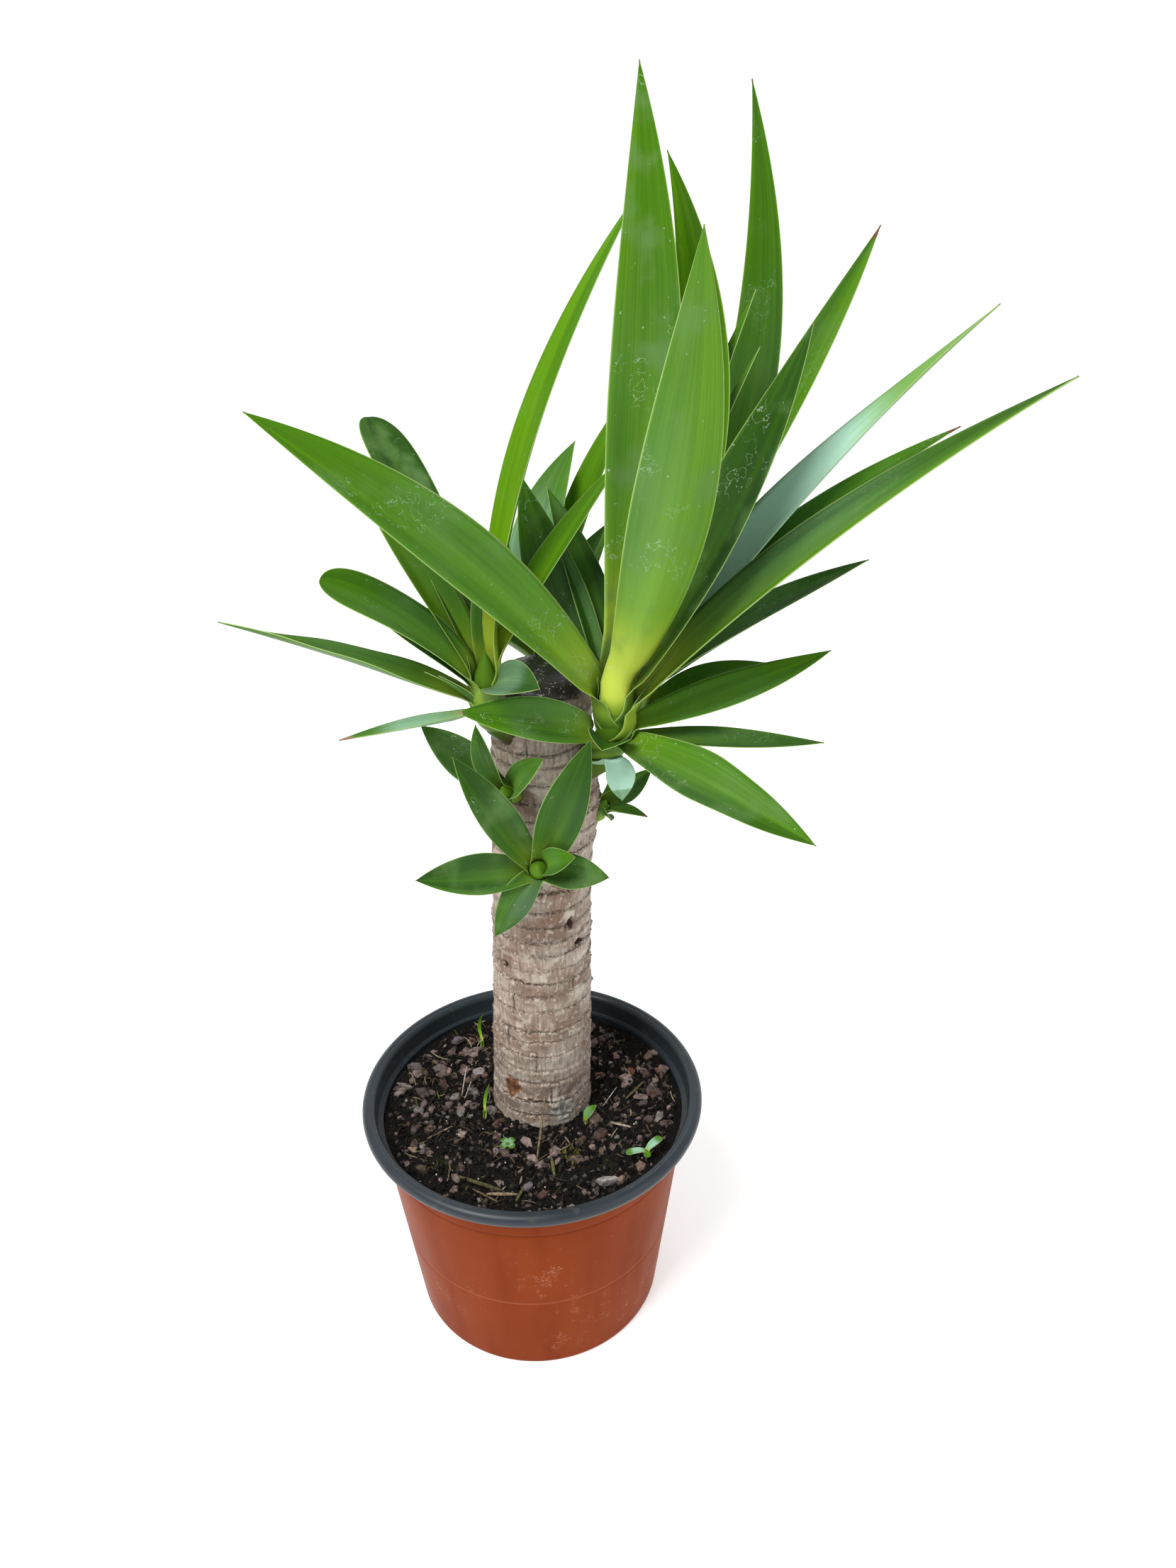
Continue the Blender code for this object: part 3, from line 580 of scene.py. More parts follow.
# Place in millimetres, length, width and thickness in millimetres, heading in degrees, and colour.
SCRAPS = (
    (36.6, -50.6, 15, 5.5, 4.0, 10, (0.35, 0.33, 0.32)),
    (43.5, -50.0, 5, 4, 3.5, 60, (0.26, 0.18, 0.13)),
    (-30.2, 28.2, 9, 7, 1.4, 30, (0.33, 0.3, 0.29)),
    (-0.7, -53.4, 8.5, 4.5, 3.0, 40, (0.14, 0.12, 0.135)),
    (50.6, 26.6, 8.5, 6, 1.5, 120, (0.16, 0.06, 0.035)),
    (65.4, 23.5, 7, 5, 1.5, 130, (0.18, 0.08, 0.05)),
    (58.0, 22.0, 8, 6, 1.6, 100, (0.085, 0.05, 0.045)),
    (64.4, 39.2, 8.5, 6.5, 2.0, 0, (0.23, 0.165, 0.15)),
    (-43.5, 50.1, 9, 7, 2.5, 20, (0.13, 0.11, 0.12)),
    (-49.0, 30.5, 10, 5, 2.0, 110, (0.115, 0.078, 0.075)),
    (-64.2, 30.0, 10, 8, 3.0, 160, (0.125, 0.105, 0.105)),
    (-69.2, 11.2, 8, 6, 2.2, 30, (0.22, 0.18, 0.17)),
    (34.1, -18.4, 12, 6.5, 2.6, 60, (0.085, 0.05, 0.042)),
    (24.5, -22.0, 6.5, 4.5, 2.0, 50, (0.09, 0.06, 0.05)),
    (27.0, -34.0, 4.5, 8, 1.6, 10, (0.11, 0.08, 0.075)),
    (-57.8, -27.2, 9, 4, 1.4, -25, (0.26, 0.19, 0.13)),
    (-38.0, 3.0, 5, 7, 1.5, 0, (0.13, 0.1, 0.1)),
    (-31.0, 3.0, 4.5, 7, 1.5, 20, (0.12, 0.092, 0.092)),
    (-35.0, -16.0, 7, 3, 1.2, 25, (0.25, 0.215, 0.19)),
    (56.0, 3.0, 8, 5, 1.6, 20, (0.09, 0.065, 0.07)),
    (66.0, -14.0, 7, 5, 1.8, 0, (0.12, 0.085, 0.085)),
    (-52.0, -42.0, 9, 5, 3.0, -30, (0.07, 0.058, 0.04)),
)
scraps = np.array([row[:6] for row in SCRAPS], dtype=float)
x, y = scraps[:, 0] / 1000, scraps[:, 1] / 1000
pieces = flakes(rng, x, y, scraps[:, 2:5] / 1000, 6, 0.12, 0.16, np.radians(scraps[:, 5]))
add_litter("bark_scraps", pieces, chip_bark, [row[6] for row in SCRAPS])

# Start and end in millimetres from the middle of the pot and above the compost, radius, and colour.
STRAWS = (
    ((6.6, -10.6, 20.5), (2.6, -32.0, 0.4), 0.65, (0.21, 0.175, 0.095)),
    ((-36.4, -44.9, 1.2), (-11.6, -54.9, 0.6), 1.0, (0.09, 0.085, 0.035)),
    ((35.2, 2.9, 1.0), (42.7, 10.6, 7.0), 0.25, (0.52, 0.46, 0.4)),
    ((-52.0, -20.0, 0.6), (-40.0, -12.0, 1.0), 0.5, (0.3, 0.23, 0.15)),
    ((-20.0, -56.5, 0.9), (-5.0, -57.0, 0.9), 0.9, (0.27, 0.205, 0.13)),
    ((-27.0, -53.0, 0.9), (-14.0, -61.5, 1.2), 0.55, (0.16, 0.11, 0.07)),
    ((-6.0, -62.5, 1.6), (-2.0, -52.0, 1.2), 0.8, (0.13, 0.12, 0.05)),
    ((10.0, -36.0, 3.5), (11.5, -45.0, 0.8), 0.9, (0.12, 0.125, 0.05)),
    ((-36.5, 30.0, 3.5), (-37.5, 11.0, 0.8), 0.3, (0.6, 0.56, 0.5)),
    ((-33.0, 22.0, 2.5), (-36.0, 9.0, 0.8), 0.25, (0.56, 0.52, 0.46)),
    ((47.0, 5.0, 1.0), (57.0, 16.0, 3.0), 0.6, (0.13, 0.115, 0.055)),
    ((39.0, -11.0, 1.0), (50.0, -15.0, 1.0), 0.7, (0.42, 0.37, 0.29)),
    ((-51.0, 14.0, 0.6), (-48.0, 3.0, 4.0), 0.35, (0.11, 0.14, 0.03)),
)
share = np.linspace(0, 1, 12)[:, None]
straws = []
for start, end, thickness, colour in STRAWS:
    line = (np.array(start) * (1 - share) + np.array(end) * share) / 1000
    line[:, 2] += soil_height(line[:, 0], line[:, 1]).mean()
    straws.append(strand(line, thickness / 1000))
dry_straw = loose_material("dry_straw", 0.8, 800, 0.0002)
add_litter("dry_straws", straws, dry_straw, [row[3] for row in STRAWS], smooth=True)

MOSS_TUFTS = 90
MOSS_PLACE = (0.0191, -0.0309)
MOSS_SPREAD = 0.003
MOSS_COLOURS = ((0.06, 0.062, 0.012), (0.15, 0.14, 0.03), (0.03, 0.03, 0.01))
x, y = rng.normal(MOSS_PLACE, MOSS_SPREAD, (MOSS_TUFTS, 2)).T
sizes = rng.uniform(0.0006, 0.0018, (MOSS_TUFTS, 1)) * np.array([1, 0.8, 1])
tufts = flakes(rng, x, y, sizes, 5, 0.0, 1.2)
add_litter("moss_clump", tufts, dark_crumb, tints(rng, MOSS_TUFTS, MOSS_COLOURS, 0.3))

# The cane
# A length of yucca stem sawn off at both ends and set in the compost. Its dry bark has slanted ring
# scars where old leaves sat, crumbling along the deeper ones, with lengthwise cracks, a few dark
# knots, thin pale skin that is flaking off, and near its foot a brown peeled place and a grey flake.

CANE_FOOT = np.array((0.004, 0.014, 0.036))
CANE_SOIL = np.array((0.004, 0.014, 0.108))
CANE_HEAD = np.array((0.0105, 0.014, 0.339))
CANE_FOOT_RADIUS = 0.0252
CANE_HEAD_RADIUS = 0.0219
CANE_OVAL = 0.018
SWELLING = 0.0042
SWELLING_HEIGHT = 0.281
SWELLING_REACH = 0.02
CANE_EDGE_DROP = 0.0006
CANE_EDGE_REACH = 0.0008
BARK_BURIED = 0.012
CANE_SIDES = 200
CANE_ROWS = 460
# Each scar's height, how much it rises from one side to the other, the side it is highest on, in
# degrees, and how deep it is.
SCARS = (
    (0.113, 0.0012, 200, 0.6), (0.122, 0.002, 330, 0.9), (0.134, 0.003, 350, 0.5),
    (0.1425, 0.001, 90, 0.3), (0.1512, 0.0024, 340, 1.0), (0.16, 0.0016, 20, 0.4),
    (0.1662, 0.0022, 350, 0.7), (0.1782, 0.003, 10, 1.0), (0.186, 0.0034, 330, 0.5),
    (0.1942, 0.0018, 300, 0.8), (0.2022, 0.0014, 60, 0.3), (0.2102, 0.0032, 340, 1.0),
    (0.219, 0.0026, 20, 0.9), (0.2262, 0.0014, 320, 0.3), (0.235, 0.0022, 10, 0.6),
    (0.245, 0.002, 350, 0.7), (0.2545, 0.0016, 300, 0.5), (0.264, 0.0024, 340, 0.8),
    (0.274, 0.0014, 60, 0.4), (0.282, 0.002, 20, 0.9), (0.29, 0.0012, 330, 0.5), (0.3, 0.0018, 10, 0.9),
    (0.308, 0.0014, 350, 0.4), (0.315, 0.002, 30, 0.7), (0.3225, 0.001, 200, 0.5),
    (0.33, 0.0014, 90, 0.6),
)
# Angle in degrees, middle height and half length of each crack.
CRACKS = (
    (265, 0.148, 0.008), (235, 0.183, 0.009), (299, 0.226, 0.006), (320, 0.214, 0.005),
    (246, 0.204, 0.007), (283, 0.128, 0.006), (228, 0.16, 0.01), (310, 0.19, 0.008), (255, 0.318, 0.008),
    (290, 0.3, 0.007), (20, 0.17, 0.012), (75, 0.22, 0.01), (120, 0.15, 0.009), (160, 0.26, 0.012),
    (190, 0.2, 0.008), (45, 0.29, 0.009), (345, 0.145, 0.01), (100, 0.31, 0.01), (205, 0.13, 0.007),
    (140, 0.19, 0.006),
)
# Angle, height, half width and half height of each dark knot.
KNOTS = (
    (223, 0.2026, 0.0016, 0.0018), (305, 0.2275, 0.0018, 0.0034), (318, 0.2148, 0.003, 0.002),
    (60, 0.18, 0.003, 0.003), (130, 0.24, 0.002, 0.003), (175, 0.15, 0.003, 0.002),
)
# Angle, height, half width and half height of each pale flake.
FLAKES = (
    (303, 0.2315, 0.003, 0.005), (298, 0.117, 0.0055, 0.005), (286, 0.125, 0.003, 0.006),
    (318, 0.186, 0.005, 0.004), (322, 0.205, 0.006, 0.0025), (270, 0.3, 0.006, 0.004),
    (80, 0.14, 0.005, 0.004), (150, 0.21, 0.004, 0.006), (30, 0.24, 0.005, 0.005),
)
# Where bark has peeled off brown, and where a grey flake of it still clings at the foot.
PEELED = ((233, 0.129, 0.005, 0.0058),)
GREY_FLAKE = ((296, 0.116, 0.0058, 0.0085),)
SCAR_BREADTH = 0.001
CRACK_BREADTH = 0.00035
# How far each feature stands out from the bark or lies in it.
STEP_HEIGHT = 0.0012
GROOVE_DEPTH = 0.0012
LIP_HEIGHT = 0.001
CRUMBLE_HEIGHT = 0.0009
FIBRE_HEIGHT = 0.00018
SKIN_HEIGHT = 0.00035
CRACK_DEPTH = 0.0008
KNOT_DEPTH = 0.0009
PATCH_HEIGHT = 0.0006


def cane_radius(height, angle):
    """Radius without scars: a straight taper, a little oval, with a swelling on the right at one height."""
    share = (height - CANE_FOOT[2]) / (CANE_HEAD[2] - CANE_FOOT[2])
    radius = CANE_FOOT_RADIUS + (CANE_HEAD_RADIUS - CANE_FOOT_RADIUS) * share
    rise = np.exp(-(((height - SWELLING_HEIGHT) / SWELLING_REACH) ** 2))
    swelling = SWELLING * rise * np.maximum(np.cos(angle), 0) ** 2
    return radius * (1 + CANE_OVAL * np.cos(2 * angle + 3 * share)) + swelling


def round_noise(angle, height, cells, length, seed):
    """Lattice noise wrapped round the cane: that many cells round it, each of that length."""
    return lattice_noise(angle / (2 * np.pi) * cells, height / length, cells, seed)


def blots(angle, height, places):
    """1 in the middle of each listed oval on the bark, falling to 0 at its ragged edge."""
    ragged = 0.35 * round_noise(angle, height, 90, 0.0016, 45)
    filled = np.zeros(np.broadcast(angle, height).shape)
    for degrees, middle, half_width, half_height in places:
        sideways = np.angle(np.exp(1j * (angle - np.radians(degrees)))) * CANE_FOOT_RADIUS
        distance = np.hypot(sideways / half_width, (height - middle) / half_height) + ragged
        filled = np.maximum(filled, np.clip((1.15 - distance) / 0.3, 0, 1))
    return filled


def cane_surface(angle, height):
    """Bark relief in metres, with the share of scar, pale skin and dark hollow at each point.

    Along each scar runs a groove under a raised lip, and from it the bark thickens up to the next one.
    """
    crumbly = round_noise(angle, height, 220, 0.0011, 33) + 0.7 * round_noise(angle, height, 110, 0.0022, 34)
    groove, lip = np.zeros(angle.shape), np.zeros(angle.shape)
    below, above = np.full(angle.shape, -1.0), np.full(angle.shape, 1.0)
    for number, (middle, slant, highest, deep) in enumerate(SCARS):
        level = middle + slant / 2 * np.cos(angle - np.radians(highest))
        wander = 0.0009 * round_noise(angle, level, 9, 0.03, 50 + number)
        level += wander + 0.0004 * round_noise(angle, level, 34, 0.02, 80)
        away = height - level
        present = deep * np.clip(0.75 + 0.8 * round_noise(angle, level, 7, 0.02, 90 + number), 0.15, 1)
        breadth = SCAR_BREADTH * (1 + 0.7 * round_noise(angle, level, 11, 0.02, 130 + number))
        groove = np.maximum(groove, present * np.exp(-((away / (0.7 * breadth)) ** 2)))
        lip = np.maximum(lip, present * np.exp(-(((away - 2 * breadth) / (1.3 * breadth)) ** 2)))
        below = np.where(away >= 0, np.maximum(below, -away), below)
        above = np.where(away < 0, np.minimum(above, -away), above)
    share = np.clip(-below / (above - below), 0, 1)
    fibre = round_noise(angle, height, 150, 0.011, 35) + 0.6 * round_noise(angle, height, 320, 0.005, 36)
    skin = round_noise(angle, height, 16, 0.006, 37) + 0.6 * round_noise(angle, height, 60, 0.0024, 38)
    pale = np.clip((skin - 0.62) / 0.12, 0, 1) * 0.6
    pale = np.maximum(pale, blots(angle, height, FLAKES))
    knot = blots(angle, height, KNOTS)
    split = np.zeros(angle.shape)
    for degrees, middle, half_length in CRACKS:
        sway = 0.02 * round_noise(angle, height, 5, 0.004, 39)
        sideways = np.angle(np.exp(1j * (angle - np.radians(degrees) + sway))) * CANE_FOOT_RADIUS
        open_here = np.clip(1 - ((height - middle) / half_length) ** 2, 0, 1)
        split = np.maximum(split, np.exp(-((sideways / CRACK_BREADTH) ** 2)) * open_here)
    relief = STEP_HEIGHT * (share - 0.5) - GROOVE_DEPTH * groove + LIP_HEIGHT * lip
    relief += CRUMBLE_HEIGHT * crumbly * np.maximum(groove, lip) + FIBRE_HEIGHT * fibre + SKIN_HEIGHT * pale
    relief -= CRACK_DEPTH * split + KNOT_DEPTH * knot
    relief += PATCH_HEIGHT * (blots(angle, height, GREY_FLAKE) - blots(angle, height, PEELED))
    rough = np.clip(0.9 * groove + 0.75 * lip * (0.6 + 0.5 * crumbly), 0, 1)
    return relief, rough, pale, np.maximum(split, knot)


rows = np.linspace(CANE_SOIL[2] - BARK_BURIED, CANE_HEAD[2], CANE_ROWS)
sides = circle(CANE_SIDES)
height, angle = np.meshgrid(rows, sides, indexing="ij")
relief, scarred, pale_skin, hollow = cane_surface(angle, height)
lean = np.maximum((height - CANE_SOIL[2]) / (CANE_HEAD[2] - CANE_SOIL[2]), 0)
rounded_edge = CANE_EDGE_DROP * (1 - np.clip((CANE_HEAD[2] - height) / CANE_EDGE_REACH, 0, 1))
radius = cane_radius(height, angle) + relief - rounded_edge
cane_x = CANE_SOIL[0] + (CANE_HEAD[0] - CANE_SOIL[0]) * lean + radius * np.cos(angle)
cane_y = CANE_SOIL[1] + (CANE_HEAD[1] - CANE_SOIL[1]) * lean + radius * np.sin(angle)
bark_grid = np.stack([cane_x, cane_y, height], axis=-1)
buried = bark_grid[:1].copy()
buried[..., 2] = CANE_FOOT[2]


def three_values(shader, name):
    """The three numbers that are painted on the piece under one name."""
    return add_node("SeparateColor", {"Color": painted(shader, name)}).outputs.values()


bark, shader, place = new_material("dry_bark", 0.88, 0.15)
in_scar, skinned, dark_hollow = three_values(shader, "wear")
peeled, grey_flaked = three_values(shader, "stain")[:2]
fibres_seen = noise(place, 900, 4, (1, 1, 0.09))
blotch = noise(place, 42, 5, (1, 1, 1.4))
fleck = noise(place, 480, 5, (1, 1, 0.55))
crumb = noise(place, 700, 5, (1, 1, 1.6))
flecked = step(fleck, 0.35, 0.6)
colour = layered(
    blend(step(blotch, 0.36, 0.6), (0.225, 0.158, 0.122), (0.45, 0.38, 0.325)),
    (step(noise(place, 75, 3), 0.54, 0.66, 0, 0.5), (0.25, 0.145, 0.1)),
    (step(fibres_seen, 0.32, 0.62, 0.55, 0), (0.15, 0.11, 0.086)),
    (step(fleck, 0.57, 0.68, 0, 0.6), (0.6, 0.54, 0.46)),
    (times(skinned, step(fleck, 0.3, 0.55, 0.3, 0.85)), (0.54, 0.48, 0.41)),
    (times(in_scar, 0.9), blend(step(crumb, 0.49, 0.6), (0.07, 0.04, 0.027), (0.66, 0.58, 0.48))),
    (peeled, blend(flecked, (0.1, 0.042, 0.022), (0.26, 0.13, 0.065))),
    (grey_flaked, blend(flecked, (0.15, 0.145, 0.128), (0.36, 0.35, 0.315))),
    (dark_hollow, (0.03, 0.016, 0.011)),
)
finish(shader, colour, plus(fibres_seen, fleck, times(crumb, in_scar)), 0.0011, 0.9)
cane = add_piece(lofted("cane", [np.concatenate([buried, bark_grid])]), bark, "trunk")
wear = np.stack([scarred, pale_skin, hollow], axis=-1)
stain = np.stack([blots(angle, height, PEELED), blots(angle, height, GREY_FLAKE), 0 * angle], axis=-1)
for name, values in (("wear", wear), ("stain", stain)):
    paint(cane, name, np.concatenate([values[:1], values]).reshape(-1, 3))

# The wax seal
# Dark sealing wax brushed over the sawn top against rot, with air bubbles and pale dust on it. It has
# run a little over the edge.

WAX_ROWS = 40
WAX_SIDES = 120
WAX_OVERHANG = 0.0003
WAX_UNEVENNESS = 0.0004
wax_low, wax_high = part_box("wax_seal")
wax_height = wax_high[2] - wax_low[2]
angle = circle(WAX_SIDES)[None, :]
turn = np.linspace(-0.25, 1, WAX_ROWS)[:, None] * np.pi / 2
dome = np.maximum(np.sin(turn), -0.1)
reach = np.cos(turn) ** 0.6
edge_radius = cane_radius(CANE_HEAD[2], angle) * (0.985 + 0.015 * np.sin(5 * angle)) + WAX_OVERHANG
wobble = round_noise(angle + 0 * turn, dome * 0.02 + 0 * angle, 12, 0.012, 41)
wax_radius = (edge_radius + WAX_UNEVENNESS * wobble) * reach
wax_grid = np.stack(
    [
        CANE_HEAD[0] + wax_radius * np.cos(angle),
        CANE_HEAD[1] + wax_radius * np.sin(angle),
        wax_low[2] + wax_height * np.clip(dome, 0, 1) * (1 + 0.06 * wobble * reach) + 0 * angle,
    ],
    axis=-1,
)

wax, shader, place = new_material("sealing_wax", 0.33)
cloudy = noise(place, 130, 4)
dusted = times(step(noise(place, 800, 3), 0.6, 0.65, 0, 0.95), step(noise(place, 75, 3), 0.4, 0.56))
colour = layered(blend(cloudy, (0.012, 0.009, 0.008), (0.042, 0.032, 0.029)), (dusted, (0.62, 0.58, 0.54)))
finish(shader, colour, noise(place, 380, 3), 0.0006, 0.6, step(cloudy, 0.3, 0.7, 0.22, 0.48))
add_piece(lofted("wax_dome", [wax_grid]), wax, "wax_seal")

# The leafy shoots
# Each shoot is a short soft stem that breaks out of the bark, with stiff sword-shaped leaves whose
# bases wrap round it. A leaf is channelled, palest at its base, finely lined along its length, and has
# a thin pale edge and a dry point. Water marks and dust dull its shine.

# tone is the blade's brightness, and glow the strength of its yellow base together with the painted
# light that shines through the blade there. The third number is the strength of its grey-blue
# sheen, a painted reflection of the sky, which on the small pale leaves and the seedlings also
# stands for their own pale colour.
# lit is how much the half at u = 1 outshines the other one, below 0 for the other way round. spots is
# the strength of water marks and dust, and dry the size of the dead point.
Look = namedtuple("Look", "tone glow silver lit spots dry", defaults=(0.2, 0.3, 0.3))

BRIGHT = Look(0.78, 1.0, 0.05, 0.7, 0.6, 0.2)
FRESH = Look(0.64, 0.55, 0.0, 0.1, 0.1, 0.2)
MID = Look(0.5, 0.5, 0.04)
GREEN = Look(0.41, 0.4, 0.05)
DEEP = Look(0.1, 0.25, 0.03)
# A look with a full painted sheen: the sky's reflection painted into the blade's colour.
SHEENED = Look(0.6, 0.4, 1.0, 0.1, 0.0, 0.3)
HANGING = GREEN._replace(lit=0.5, spots=0.7, glow=0.15)
HALF_LIT = FRESH._replace(tone=0.56, silver=0.1, lit=-1)
SHADED = DEEP._replace(tone=0.3, silver=0.1, spots=0.8)

# up: height of the root above the shoot's crown. bow lifts the middle of the blade off its chord
# towards the upper face and sway moves it sideways, as shares of the length. roll turns the whole
# blade about its length and twist is the turn that the tip adds. blunt is 1 for a rounded tip, and
# wave ripples the edges.
Leaf = namedtuple(
    "Leaf",
    "up heading rise length width bow look roll sway twist blunt wave",
    defaults=(0, 0, 0, 0, 0),
)
Shoot = namedtuple("Shoot", "name piece crown axis stem radius leaves")
UP = (0.0, 0.0, 1.0)

